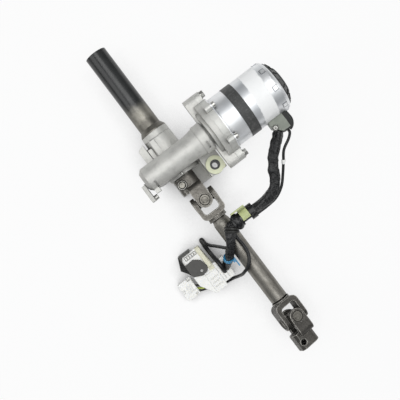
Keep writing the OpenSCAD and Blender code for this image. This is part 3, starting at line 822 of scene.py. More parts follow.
@dataclass(frozen=True)
class Cable(Finish):
    """A cable's smooth jacket, with faint lengthwise streaks and grease."""

    rough: float = 0.32

    def make(self, sketch: Sketch) -> bpy.types.Material:
        """Works the finish out.

        Args:
            sketch: the material's empty sketch.

        Returns:
            The material.
        """
        streak = sketch.grain(120, 4, 0.6, sketch.coords((0.4, 1, 1), (15, 20, 40)))
        tone = sketch.mottle(streak, *WIDE, self.colour, 0.75, 1.4)
        rough = sketch.span(streak, *MIDDLE, self.rough - 0.05, self.rough + 0.14)
        normal = sketch.relief(sketch.grain(900, 2), 0.00008, 0.5)
        return sketch.finish(Base_Color=tone, Roughness=rough, Normal=normal, Specular_IOR_Level=0.3)


@dataclass(frozen=True)
class Winding(Finish):
    """Enamelled copper over a stack of sheet steel."""

    def make(self, sketch: Sketch) -> bpy.types.Material:
        """Works the finish out.

        Args:
            sketch: the material's empty sketch.

        Returns:
            The material.
        """
        sheets = sketch.lines(420, 0.4)
        cloud = sketch.grain(160, 4)
        tone = sketch.mottle(cloud, 0.35, 0.65, self.colour, 1.0, 0.5)
        tone = sketch.tint(tone, sheets, *MIDDLE, 0.5, (0.16, 0.16, 0.17))
        rough = sketch.span(cloud, *MIDDLE, 0.3, 0.5)
        normal = sketch.relief(sheets, 0.0002, 0.5)
        return sketch.finish(Base_Color=tone, Roughness=rough, Normal=normal, Metallic=0.7)


NYLON_WHITE = (0.92, 0.915, 0.885)
TAPE_BLACK = (0.008, 0.0082, 0.009)

TUBE_PAINT = WornTubePaint("worn_tube_paint", "tube_paint", (0.02, 0.021, 0.021))
CASTING = CastMetal("cast_aluminium", "cast_alu", (0.6, 0.595, 0.565))
COVER_CASTING = CastMetal("cover_casting", "cast_alu", (0.5, 0.495, 0.47), rough=0.52)
FLANGE_CASTING = CastMetal("flange_casting", "cast_alu", (0.62, 0.62, 0.59), edge=0.0012, rough=0.46)
CAN_PLATE = PlatedCan("plated_can", "can_plate", (0.86, 0.87, 0.88))
BAND = Moulding("dark_band", "dark_plastic", (0.07, 0.071, 0.07), 0.4, 0.3)
CAP = Moulding("end_cap", "dark_plastic", (0.032, 0.034, 0.033), 0.36, 0.16)
BOOT = ZonedMoulding(
    "aged_boot", "boot_rubber", (0.02, 0.021, 0.02), dust=0.2, depth=0.0001, edge=0.0012, painted_crevice_shade=0.5,
    zone=(0.27, 0.29, 0.25), low=(-FAR, -57.4, -FAR), high=(151.0, 0.0, FAR),
)
BOLT = PlatedSteel("zinc_bolt", "bolt_steel", (0.55, 0.545, 0.515), 0.36)
PINCH = PlatedSteel("pinch_bolt", "bolt_steel", (0.27, 0.26, 0.23), 0.42)
WASHER = PlatedSteel("split_washer", "bolt_steel", (0.5, 0.49, 0.46), 0.34)
# Darker plate for the crimp slots: painted shade.
CRIMP_SLOT_SHADE = PlatedSteel("crimp_shade", "can_plate", (0.46, 0.47, 0.49), 0.45)
# Black-oxide steel, its black also painting the shade in the bush's bore.
OXIDE_AND_BORE_SHADE = PlatedSteel("sleeve_oxide", "shaft_steel", (0.05, 0.05, 0.05), 0.4)
CUP = PlatedSteel("bearing_cup", "bearing_steel", (0.2, 0.19, 0.168), 0.44)
CROSS = PlatedSteel("cross_steel", "bearing_steel", (0.16, 0.15, 0.135), 0.44)
RACE = PlatedSteel("bearing_race", "bearing_steel", (0.6, 0.6, 0.6), 0.26)
PIN = PlatedSteel("tinned_pin", "bolt_steel", (0.62, 0.58, 0.45), 0.3, 0.0002)
SHAFT = TurnedSteel("turned_shaft", "shaft_steel", (0.23, 0.22, 0.197), (0.1, 0.086, 0.07), 0.4, 0.85)
SPLINE = TurnedSteel("bright_spline", "shaft_steel", (0.6, 0.59, 0.55), (0.3, 0.28, 0.24), 0.28, 0.95)
YOKE = ForgedSteel("forged_yoke", "shaft_steel", (0.14, 0.132, 0.118), (0.06, 0.052, 0.044), metal=0.8)
DARK_YOKE = ForgedSteel("dark_yoke", "dark_forging", (0.1, 0.094, 0.085), (0.035, 0.031, 0.028))
MAGNET = ForgedSteel("ferrite", "magnet", (0.1, 0.1, 0.105), (0.05, 0.05, 0.05), 0.55, 0.2)
BUSH = Moulding("bush_nylon", "nylon_bush", (0.74, 0.76, 0.55), 0.45, 0.2, edge=0.0006, glow=0.15)
CLIP = Moulding("clip_nylon", "nylon_bush", (0.5, 0.55, 0.26), 0.45, 0.25, edge=0.0006, glow=0.15)
TAPE = WoundTape("wound_tape", "loom_black", TAPE_BLACK, 0.0085, 0.24)
WRAP = WoundTape("tape_wrap", "loom_black", TAPE_BLACK, 0.006, 0.28)
LEAD = Cable("lead_jacket", "loom_black", (0.018, 0.0185, 0.0195))
GREEN_WIRE = Cable("green_wire", "wire_green", (0.42, 0.5, 0.09))
BLACK_WIRE = Cable("black_wire", "loom_black", (0.02, 0.02, 0.021))
WHITE = Moulding("milky_nylon", "white_nylon", NYLON_WHITE, 0.42, 0.05, 0.00005, 0.0006, 0.2, 0.22)
CREAM = ZonedMoulding(
    "cream_nylon", "white_nylon", NYLON_WHITE, dust=0.05, depth=0.00005, edge=0.0008, glow=0.15, painted_crevice_shade=0.4,
    zone=(0.74, 0.72, 0.56), low=(-54.5, -153.0, -FAR),
)
RUBBER = ZonedMoulding(
    "aged_cap", "cap_rubber", (0.09, 0.088, 0.083), rough=0.45, dust=0.2, depth=0.0001, edge=0.0008, painted_crevice_shade=0.6,
    zone=(0.006, 0.006, 0.006), high=(-79.5, FAR, FAR), lumps=0.0022,
)
SEAL = Moulding("seal_rubber", "cap_rubber", (0.03, 0.03, 0.029), 0.4, 0.2, 0.0001, 0.0008)
BLUE = Moulding("tie_nylon", "tie_blue", (0.03, 0.24, 0.45), 0.36, 0.1, 0.00004, 0.0003, 0.1)
GEAR_NYLON = Moulding("gear_nylon", "rim_nylon", (0.72, 0.68, 0.52), 0.4, 0.1, 0.00005, 0.0003, 0.1)
# Near-black for the gaps and seats between parts: painted shade.
GAP_SHADE = Moulding("painted_gap_shade", "bearing_steel", (0.022, 0.019, 0.016), 0.35, 0.1, 0.0001, 0.0003)
# A near-black disc for each screw drive: painted shade in the recess.
SOCKET_SHADE = Moulding("painted_socket_shade", "bolt_steel", (0.03, 0.03, 0.03), 0.5, 0.1, 0.00005, 0.0002)
COPPER = Winding("wound_core", "winding", (0.45, 0.22, 0.1))

CAD_FINISHES: dict[Finish, tuple[str, ...]] = {
    TUBE_PAINT: ("column_tube",),
    CASTING: ("gear_housing", "sensor_cover"),
    COVER_CASTING: ("worm_end_cover", "lower_cover"),
    FLANGE_CASTING: ("motor_flange",),
    CAN_PLATE: ("motor_can",),
    BAND: ("can_band",),
    CAP: ("motor_end_cap", "torque_sensor", "brush_holder", "motor_coupling"),
    BOOT: ("cable_boot",),
    BUSH: ("mount_bush",),
    OXIDE_AND_BORE_SHADE: ("bush_sleeve",),
    SHAFT: ("input_shaft", "torsion_bar", "wheel_hub", "worm_shaft", "mid_tube", "inner_shaft"),
    SPLINE: ("output_shaft",),
    GEAR_NYLON: ("worm_wheel",),
    YOKE: ("upper_clamp_yoke", "upper_weld_yoke"),
    DARK_YOKE: ("lower_weld_yoke", "lower_clamp_yoke"),
    SEAL: ("slide_sleeve",),
    CROSS: ("upper_cross", "lower_cross"),
    CUP: ("upper_cups", "mid_cups", "inner_cups", "lower_cups"),
    RACE: ("upper_bearing", "output_bearings", "worm_bearings", "motor_bearings"),
    BOLT: ("cover_screws", "end_cover_bolt", "ear_bolts", "flange_screws"),
    PINCH: ("upper_pinch_bolt",),
    MAGNET: ("magnets",),
    COPPER: ("rotor",),
    CLIP: ("harness_clip",),
    WHITE: ("marker_sleeve", "mate_connector", "small_connector"),
    CREAM: ("main_connector",),
    RUBBER: ("connector_cap",),
    BLUE: ("blue_tie",),
    WRAP: ("tape_wraps",),
    GREEN_WIRE: ("pigtail_wires",),
    LEAD: ("spare_leads", "sensor_lead", "thin_lead"),
    TAPE: ("loom", "branch_sleeve"),
}


class Maker:
    """Makes pieces in the part's frame and rides them on its bodies."""

    @staticmethod
    def skin(name: str, points: Sequence[Vector], sides: int, finish: Finish) -> bpy.types.Object:
        """A closed skin over rows of points, as an object at the origin.

        Args:
            name: its name.
            points: its corners in metres, row after row.
            sides: how many points a row has.
            finish: its finish.

        Returns:
            The object.
        """
        last = len(points) - sides
        faces = [
            (i + k, i + (k + 1) % sides, i + sides + (k + 1) % sides, i + sides + k)
            for i in range(0, last, sides)
            for k in range(sides)
        ]
        ends = [tuple(reversed(range(sides))), tuple(range(last, last + sides))]
        mesh = bpy.data.meshes.new(name)
        mesh.from_pydata([tuple(p) for p in points], [], faces + ends)
        mesh.validate()
        mesh.materials.append(finish.material())
        for face in mesh.polygons:
            face.use_smooth = True
        return placed(name, mesh)

    @staticmethod
    def dressed(piece: bpy.types.Object, body: Body, finish: Finish, *nodes: str) -> bpy.types.Object:
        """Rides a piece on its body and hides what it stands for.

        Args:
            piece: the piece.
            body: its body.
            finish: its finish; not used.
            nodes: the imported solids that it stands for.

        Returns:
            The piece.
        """
        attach(piece, body.value)
        if nodes:
            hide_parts(*nodes)
        log.info("%s rides on %s", piece.name, body.value)
        return piece


class Growth:
    """A Geometry Nodes tree with named inputs, run on a mesh of spots or lines and kept as plain mesh."""

    def __init__(self, name: str, finish: Finish, **values: float) -> None:
        """Starts a tree with an input for each value and for the finish.

        Args:
            name: the name of what it makes.
            finish: the finish of what it makes.
            values: sizes and counts by the input's name, an int for a whole number.
        """
        self.name = name
        self.tree = bpy.data.node_groups.new(f"{name}_tree", "GeometryNodeTree")
        self.values: dict[str, object] = {}
        self.socket("Seat", "Geometry")
        for key, value in values.items():
            self.values[self.socket(key, "Int" if isinstance(value, int) else "Float")] = value
        self.values[self.socket("Finish", "Material")] = finish.material()
        self.socket("Result", "Geometry", "OUTPUT")
        self.start = self.node("NodeGroupInput")

    def socket(self, name: str, kind: str, way: str = "INPUT") -> str:
        """Adds an input or an output to the tree and gives its identifier."""
        return self.tree.interface.new_socket(name, in_out=way, socket_type=f"NodeSocket{kind}").identifier

    def node(self, kind: str, inputs: dict | None = None, **settings: object) -> bpy.types.Node:
        """Adds a node."""
        return add_node(self.tree, kind, inputs, **settings)

    def read(self, name: str) -> Socket:
        """One of the tree's inputs."""
        return self.start.outputs[name]

    def circle(self, radius: Socket, sides: object) -> Socket:
        """A round curve."""
        inputs = {"Radius": radius, "Resolution": sides}
        return self.node("GeometryNodeCurvePrimitiveCircle", inputs).outputs["Curve"]

    def sweep(self, curve: Socket, profile: Socket, caps: bool) -> Socket:
        """A mesh swept along a curve."""
        inputs = {"Curve": curve, "Profile Curve": profile, "Fill Caps": caps}
        return self.node("GeometryNodeCurveToMesh", inputs).outputs["Mesh"]

    def run(self, made: Socket, mesh: bpy.types.Mesh, soft: bool) -> bpy.types.Object:
        """Ends the tree, runs it and keeps what it makes.

        Args:
            made: the geometry to keep.
            mesh: the spots or lines to run on.
            soft: shade it smooth.

        Returns:
            A plain mesh object at the origin.
        """
        real = self.node("GeometryNodeRealizeInstances", {"Geometry": made}).outputs["Geometry"]
        paint = self.node("GeometryNodeSetMaterial", {"Geometry": real, "Material": self.read("Finish")})
        self.node("NodeGroupOutput", {"Result": paint.outputs["Geometry"]})
        seat = placed(f"{self.name}_seat", mesh)
        modifier = seat.modifiers.new("growth", "NODES")
        modifier.node_group = self.tree
        for key, value in self.values.items():
            modifier[key] = value
        bpy.context.view_layer.update()
        grown = bpy.data.meshes.new_from_object(seat.evaluated_get(bpy.context.evaluated_depsgraph_get()))
        grown.name = self.name
        for face in grown.polygons:
            face.use_smooth = soft
        for name in ("way", "side"):
            layer = grown.attributes.get(name)
            if layer is not None:
                grown.attributes.remove(layer)
        bpy.data.objects.remove(seat)
        return placed(self.name, grown)


class Form(Enum):
    """The small forms that a pattern repeats."""

    BEAD = "bead"
    PRISM = "prism"
    BLOCK = "block"
    HOOP = "hoop"


HEXAGON = 6  # sides of a screw drive
DRIVE_DEPTH = 0.0004  # thickness of the dark disc painted as the shade in a screw drive, in metres


@dataclass
class Spot:
    """Where one copy in a pattern sits: its place, its own axis and its side."""

    place: Vector
    way: Vector
    side: Vector


@dataclass
class Pattern:
    """One small form repeated on chosen spots by a Geometry Nodes tree, with sizes in metres."""

    name: str
    form: Form
    finish: Finish
    size: float
    length: float = 0.0
    thickness: float = 0.0
    sides: int = 12
    spread: float = 0.0
    seed: int = 11
    ball_level: int = 2
    wire_sides: int = 8

    def copy_of(self, grow: Growth) -> Socket:
        """Makes the repeated form from a tree's inputs.

        Args:
            grow: the tree to build in.

        Returns:
            The geometry socket.
        """
        size, length, thickness, sides = map(grow.read, ("Size", "Length", "Thickness", "Sides"))
        if self.form is Form.BEAD:
            inputs = {"Subdivisions": self.ball_level, "Radius": size}
            ball = grow.node("GeometryNodeMeshIcoSphere", inputs).outputs["Mesh"]
            share = grow.node("ShaderNodeMath", {0: length, 1: size}, operation="DIVIDE").outputs[0]
            press = grow.node("ShaderNodeCombineXYZ", {"X": 1, "Y": 1, "Z": share}).outputs[0]
            return grow.node("GeometryNodeTransform", {"Geometry": ball, "Scale": press}).outputs["Geometry"]
        if self.form is Form.PRISM:
            inputs = {"Vertices": sides, "Radius": size, "Depth": length}
            return grow.node("GeometryNodeMeshCylinder", inputs).outputs["Mesh"]
        if self.form is Form.BLOCK:
            sizes = grow.node("ShaderNodeCombineXYZ", {"X": size, "Y": thickness, "Z": length}).outputs[0]
            return grow.node("GeometryNodeMeshCube", {"Size": sizes}).outputs["Mesh"]
        return grow.sweep(grow.circle(size, sides), grow.circle(thickness, self.wire_sides), False)

    def build(self, spots: Sequence[Spot]) -> bpy.types.Object:
        """Makes the copies on their spots.

        Args:
            spots: one for each copy.

        Returns:
            A plain mesh object at the origin.
        """
        cloud = bpy.data.meshes.new(f"{self.name}_spots")
        cloud.from_pydata([tuple(spot.place) for spot in spots], [], [])
        sizes = {"Size": self.size, "Length": self.length, "Thickness": self.thickness, "Spread": self.spread}
        grow = Growth(self.name, self.finish, **sizes, Sides=self.sides, Seed=self.seed)
        turn: dict[str, Socket] = {}
        for axis, pivot, name in (("Z", "AUTO", "way"), ("X", "Z", "side")):
            layer = cloud.attributes.new(name, "FLOAT_VECTOR", "POINT")
            layer.data.foreach_set("vector", [part for spot in spots for part in getattr(spot, name)])
            read = grow.node("GeometryNodeInputNamedAttribute", {"Name": name}, data_type="FLOAT_VECTOR")
            inputs = {"Vector": read.outputs["Attribute"], **turn}
            align = grow.node("FunctionNodeAlignRotationToVector", inputs, axis=axis, pivot_axis=pivot)
            turn = {"Rotation": align.outputs["Rotation"]}
        chance = grow.node("FunctionNodeRandomValue", {"Seed": grow.read("Seed")}, data_type="FLOAT")
        for kind, name in (("SUBTRACT", "Min"), ("ADD", "Max")):
            bound = grow.node("ShaderNodeMath", {0: 1, 1: grow.read("Spread")}, operation=kind).outputs[0]
            feed(grow.tree, next(s for s in chance.inputs if s.name == name and s.type == "VALUE"), bound)
        scale = next(s for s in chance.outputs if s.type == "VALUE")
        inputs = {"Points": grow.read("Seat"), "Instance": self.copy_of(grow), "Scale": scale, **turn}
        copies = grow.node("GeometryNodeInstanceOnPoints", inputs).outputs["Instances"]
        return grow.run(copies, cloud, self.form in (Form.BEAD, Form.HOOP))

    def dress(self, body: Body, spots: Sequence[Spot]) -> bpy.types.Object:
        """Makes the copies and rides them on a body."""
        return Maker.dressed(self.build(spots), body, self.finish)


@dataclass(frozen=True)
class Hoop:
    """A round wire or edge, in metres, repeated at some places along an axis, in millimetres."""

    name: str
    finish: Finish
    radius: float
    wire: float
    sides: int
    places: tuple[float, ...] = ()

    def pattern(self, name: str) -> Pattern:
        """The pattern that makes it under that name."""
        return Pattern(name, Form.HOOP, self.finish, self.radius, thickness=self.wire, sides=self.sides)


@dataclass
class Wires:
    """Round wires along given routes, made by a Geometry Nodes tree."""

    name: str
    finish: Finish
    radius: float
    sides: int = 12
    step: float = 0.0008

    def dress(self, routes: Sequence[Sequence[Point]], *nodes: str) -> bpy.types.Object:
        """Makes the wires and rides them on the housing.

        Args:
            routes: the points of each wire, in millimetres.
            nodes: the solids that they stand for.

        Returns:
            A plain mesh object at the origin.
        """
        points: list[Vector] = []
        edges: list[tuple[int, int]] = []
        for way in routes:
            fine = Line(route(way), self.step).sampled()
            edges += [(len(points) + i, len(points) + i + 1) for i in range(len(fine) - 1)]
            points += fine
        lines = bpy.data.meshes.new(f"{self.name}_lines")
        lines.from_pydata([tuple(p) for p in points], edges, [])
        grow = Growth(self.name, self.finish, Radius=self.radius, Sides=self.sides)
        curve = grow.node("GeometryNodeMeshToCurve", {"Mesh": grow.read("Seat")}).outputs["Curve"]
        wires = grow.sweep(curve, grow.circle(grow.read("Radius"), grow.read("Sides")), True)
        return Maker.dressed(grow.run(wires, lines, True), Body.HOUSING, self.finish, *nodes)


@dataclass
class Lathe:
    """A turned piece: a profile round an axis."""

    profile: Profile
    sides: int

    def dress(self, name: str, finish: Finish, spot: Vector, way: Vector) -> bpy.types.Object:
        """Turns the profile round the axis and rides it on the housing.

        Args:
            name: the object's name.
            finish: its finish.
            spot: where height 0 is.
            way: the axis.

        Returns:
            The turned object.
        """
        outs, axis = ways_round(way, self.sides), way.normalized()
        points: list[Vector] = []
        for radius, height in self.profile:
            points += [spot + (out * radius + axis * height) / 1000 for out in outs]
        return Maker.dressed(Maker.skin(name, points, self.sides, finish), Body.HOUSING, finish)


@dataclass
class Line:
    """A smooth line through given points, sampled evenly."""

    points: list[Vector]
    step: float = 0.0015

    def sampled(self) -> list[Vector]:
        """Samples the line as a Hermite curve.

        Returns:
            Its points, about one step apart, the first and the last one included.
        """
        knots = [self.points[0], *self.points, self.points[-1]]
        fine: list[Vector] = []
        for before, start, end, after in zip(knots, knots[1:], knots[2:], knots[3:]):
            reach = (end - start).length
            count = max(2, math.ceil(reach / self.step))
            leave, arrive = self.slope(before, start, end), self.slope(start, end, after)
            for k in range(count):
                u = k / count
                from_start, to_end = 2 * u**3 - 3 * u**2 + 1, -2 * u**3 + 3 * u**2
                bend_out, bend_in = u**3 - 2 * u**2 + u, u**3 - u**2
                straight = start * from_start + leave * (bend_out * reach)
                fine.append(straight + end * to_end + arrive * (bend_in * reach))
        fine.append(self.points[-1])
        return fine

    @staticmethod
    def slope(before: Vector, here: Vector, after: Vector) -> Vector:
        """The unit direction of the line at one of its points."""
        way = (here - before).normalized() + (after - here).normalized()
        return way.normalized()

    def length(self) -> float:
        """The line's length in metres."""
        fine = self.sampled()
        return sum((there - here).length for here, there in zip(fine, fine[1:]))


@dataclass
class Tube:
    """A tube swept along a line, with a radius that may change on the way and round it."""

    line: Line
    radius: float
    sides: int
    swell: Callable[[float, float, Vector], float] | None = None

    def build(self, name: str, finish: Finish) -> bpy.types.Object:
        """Makes the tube with a UV map of metres along it and turns round it.

        Args:
            name: the object's name.
            finish: its finish.

        Returns:
            The tube object.
        """
        path = self.line.sampled()
        side = (path[1] - path[0]).orthogonal().normalized()
        points: list[Vector] = []
        marks: list[tuple[float, float]] = []
        run = 0.0
        for i, spot in enumerate(path):
            ahead = (path[min(i + 1, len(path) - 1)] - path[max(i - 1, 0)]).normalized()
            side = (side - ahead * side.dot(ahead)).normalized()
            up = ahead.cross(side)
            if i:
                run += (spot - path[i - 1]).length
            for k in range(self.sides):
                turn = k / self.sides
                way = side * math.cos(math.tau * turn) + up * math.sin(math.tau * turn)
                reach = self.radius + (self.swell(run, turn, spot + way * self.radius) if self.swell else 0.0)
                points.append(spot + way * reach)
                marks.append((run, turn))
        piece = Maker.skin(name, points, self.sides, finish)
        layer = piece.data.uv_layers.new(name="UVMap")
        for face in piece.data.polygons:
            turns = [marks[v][1] for v in face.vertices]
            seam = len(turns) == 4 and max(turns) - min(turns) > 0.5
            for loop, vert in zip(face.loop_indices, face.vertices):
                run, turn = marks[vert]
                layer.data[loop].uv = (run, 1.0 if seam and turn == 0 else turn)
        return piece


# The cords' routes, in millimetres from the gear's centre, as in the part's source.
LOOM_ROUTE = [
    (135.3, -53, 42), (129.3, -59, 42), (112, -74, 37), (101, -88, 33), (94, -101, 30), (85, -111, 28),
    (73, -116.5, 27), (60, -118, 26), (46, -118, 26), (30, -118, 26), (14, -118, 26),
]
BRANCH_ROUTE = [
    (11, -118, 26), (8, -118, 26), (4, -121, 26), (-3, -130, 25), (-12, -141, 20), (-20, -150, 11),
    (-26, -156, 0), (-31, -161, -12),
]
SENSOR_ROUTE = [
    (146.8, -59.5, 38), (146.8, -62.5, 38), (142.8, -67.5, 36), (126, -78, 34), (117, -90, 29),
    (107, -103, 24), (95, -116, 21), (80, -124, 20), (62, -126, 20.5), (52, -126, 21), (46, -126, 21),
]
THIN_ROUTE = [
    (11, -125.4, 20.5), (8, -126, 20.3), (5, -129.5, 20), (4, -136, 19), (5, -148, 17.5), (3, -163, 17.5),
    (-5, -175, 17), (-17, -181, 9), (-26, -183, -12), (-36, -182, -27), (-48, -181, -32),
]
SPARE_A_ROUTE = [
    (-14, -141, 16), (-18, -137.5, 8), (-22, -134, -2), (-28, -129, -18), (-34, -124, -32),
    (-37, -119.5, -38),
]
SPARE_B_ROUTE = [
    (-38, -166, -13), (-38, -158, -6), (-38, -150, -6), (-39, -140, -14), (-40, -130, -30),
    (-40.5, -119.5, -38),
]
PIGTAIL_ROUTES = [
    [(-87, -157, -33), (-82, -160, -31), (-75, -165, -30)],
    [(-87, -162, -34), (-81, -166, -31), (-71, -171, -30)],
    [(-87, -166, -36), (-82, -169.5, -34), (-70, -173, -34)],
]
BOOT_LEAD_ROUTE = [
    (157.9, -36.5, 40), (158.6, -43, 41), (158.4, -51, 41), (154, -58, 40), (149.5, -60.2, 38.6),
]


@dataclass
class Loom:
    """The wiring loom: the taped trunk and branch, the thin leads and what holds them.

    Places and profiles are in millimetres, widths and swellings in metres.
    """

    trunk_d: float = 0.015
    trunk_sides: int = 32
    branch_d: float = 0.013
    branch_taper: float = 0.008
    strands: int = 3
    strand_twist: float = 9.0
    strand_swell: float = 0.0008
    lumps: tuple[tuple[float, float], ...] = ((80, 0.0015), (240, 0.0008))
    tape_pull: float = 0.0004
    lead_d: float = 0.004
    thin_d: float = 0.0048
    splice_d: float = 0.0064
    lead_sides: int = 16
    cap_profile: Profile = ((3.3, 0), (3.9, 1.2), (4.0, 9), (3.6, 11.5), (2.4, 13.2), (0.6, 13.9))
    cap_at: Point = (-39, -122, -37.6)
    cap_sides: int = 22
    roll_places: tuple[Point, ...] = ((6.2, -120.8, 26), (3.6, -124.0, 25.8))
    roll_way: Point = (-0.62, -0.78, -0.06)
    roll_r: float = 0.0088
    roll_wire: float = 0.0021
    roll_sides: int = 40

    def build(self, plugs: list[bpy.types.Object]) -> None:
        """Args:
            plugs: the small pieces on the main connector.
        """
        nodes = bpy.data.objects
        trunk_line = Line(route(LOOM_ROUTE + BRANCH_ROUTE))
        swell = self.swelling(Line(route(LOOM_ROUTE)).length())
        trunk = Tube(trunk_line, self.trunk_d / 2, self.trunk_sides, swell).build("taped_loom", TAPE)
        Maker.dressed(trunk, Body.HOUSING, TAPE, "loom", "branch_sleeve")
        trunk_line.length()
        self.rolled_rings()
        on_sensor = [nodes["marker_sleeve"]]
        self.lead("sensor_cable", SENSOR_ROUTE, self.lead_d, "object", on_sensor, "sensor_lead")
        on_thin = [nodes["main_connector"], nodes["small_connector"], *plugs]
        self.lead("thin_cable", THIN_ROUTE, self.thin_d, "connector", on_thin, "thin_lead")
        cap = Lathe(self.cap_profile, self.cap_sides).dress("splice_cap", SEAL, at(*self.cap_at), ALONG)
        on_spare = [nodes["connector_cap"], cap]
        self.lead("spare_cable_a", SPARE_A_ROUTE, self.thin_d, "fitting", on_spare, "spare_leads")
        self.lead("spare_cable_b", SPARE_B_ROUTE, self.splice_d, "object", [])

    def rolled_rings(self) -> None:
        """The rolled rings where the branch leaves the trunk."""
        way = Vector(self.roll_way).normalized()
        rings = Hoop("branch_grommet", SEAL, self.roll_r, self.roll_wire, self.roll_sides)
        spots = [Spot(at(*place), way, UP) for place in self.roll_places]
        rings.pattern(rings.name).dress(Body.HOUSING, spots)

    def swelling(self, trunk_len: float) -> Callable[[float, float, Vector], float]:
        """How the wires under the tape swell the trunk, which thins into the branch.

        Args:
            trunk_len: where the branch starts, in metres along the loom.

        Returns:
            A function of the run, the turn and the place.
        """
        thinner = (self.trunk_d - self.branch_d) / 2

        def swell(run: float, turn: float, spot: Vector) -> float:
            """The swelling at one spot.

            Args:
                run: metres along the loom.
                turn: share of a turn round it.
                spot: the place.

            Returns:
                The growth of the radius in metres.
            """
            wires = math.cos(math.tau * (turn * self.strands + run * self.strand_twist)) * self.strand_swell
            lump = sum(noise.noise(spot * scale) * height for scale, height in self.lumps)
            past = (run - trunk_len + self.branch_taper / 2) / self.branch_taper
            return wires + lump - self.tape_pull - thinner * min(1.0, max(0.0, past))

        return swell

    def lead(
        self,
        name: str,
        points: Sequence[Point],
        across: float,
        end: str,
        on_it: list[bpy.types.Object],
        *nodes: str,
    ) -> None:
        """Makes one thin lead.

        Args:
            name: the object's name.
            points: its route, in millimetres.
            across: its diameter in metres.
            end: what is on its far end; not used.
            on_it: the pieces on it; not used.
            nodes: the solids that it stands for.
        """
        line = Line(route(points))
        piece = Tube(line, across / 2, self.lead_sides).build(name, LEAD)
        Maker.dressed(piece, Body.HOUSING, LEAD, *nodes)
        line.length()


@dataclass
class GearCase:
    """The cast worm gear case: its covers' screws, its dowel and its cast marks.

    Places and profiles are in millimetres, the sizes of small forms in metres.
    """

    lug_ring: float = 44.0
    lug_turns: tuple[float, ...] = (-26, 45, 135, 206)
    drive_y: float = -16.02
    drive_r: float = 0.0021
    end_bolt: Point = (-47.2, -25.5, GEAR_Z)
    dowel_at: Point = (-3.2, -16.2, 25.2)
    dowel_profile: Profile = ((1.5, 0), (1.8, 0.3), (1.8, 5.4), (1.4, 5.9), (0.5, 6.1))
    dowel_sides: int = 18
    case_r: float = 42.02
    case_y: float = 2.0
    marks: int = 14
    marks_top: float = 20.0
    mark: Hoop = Hoop("cast_marks", CASTING, 0.0032, 0.00028, 24)
    # Places and sizes of the dark blocks painted as the shade in the gaps.
    gap_places: tuple[Point, ...] = ((-23.1, 25.8, 13.5), (-15.4, 25.8, 13.5))
    gap_block: Block = (0.0011, 0.0172, 0.0008)
    edge_at: Point = (-19.6, 34.9, 13.2)
    edge_block: Block = (0.001, 0.0085, 0.0012)

    def build(self) -> None:
        """Makes the small pieces of the case."""
        self.screw_drives()
        Lathe(self.dowel_profile, self.dowel_sides).dress("boss_dowel", BOLT, at(*self.dowel_at), -ALONG)
        self.cast_marks()
        self.cover_gaps()

    def screw_drives(self) -> None:
        """The hexagon drives in the cover screws and in the end cover's bolt, as dark discs painted as their
        shade.
        """
        spots: list[Spot] = []
        for turn in map(math.radians, self.lug_turns):
            x, z = self.lug_ring * math.cos(turn), -self.lug_ring * math.sin(turn)
            spots.append(Spot(at(x, self.drive_y, z), -ALONG, RIGHT))
        spots.append(Spot(at(*self.end_bolt), RIGHT, UP))
        drives = Pattern("cover_screw_drives", Form.PRISM, SOCKET_SHADE, self.drive_r, DRIVE_DEPTH, sides=HEXAGON)
        drives.dress(Body.HOUSING, spots)

    def cast_marks(self) -> None:
        """Round ejector marks on the lower part of the wheel case."""
        ring = ring_of(at(0, self.case_y, 0), ALONG, self.case_r, self.marks)
        spots = [Spot(place, out, ALONG) for place, out in ring if place.z < self.marks_top / 1000]
        self.mark.pattern(self.mark.name).dress(Body.HOUSING, spots)

    def cover_gaps(self) -> None:
        """Dark blocks painted as the shade in the gaps that part the sensor cover, the rib and the rail on
        the neck.
        """
        gaps = [Spot(at(*place), ALONG, UP) for place in self.gap_places]
        Pattern("sensor_cover_gaps", Form.BLOCK, GAP_SHADE, *self.gap_block).dress(Body.HOUSING, gaps)
        edge = [Spot(at(*self.edge_at), RIGHT, UP)]
        Pattern("sensor_cover_edge", Form.BLOCK, GAP_SHADE, *self.edge_block).dress(Body.HOUSING, edge)


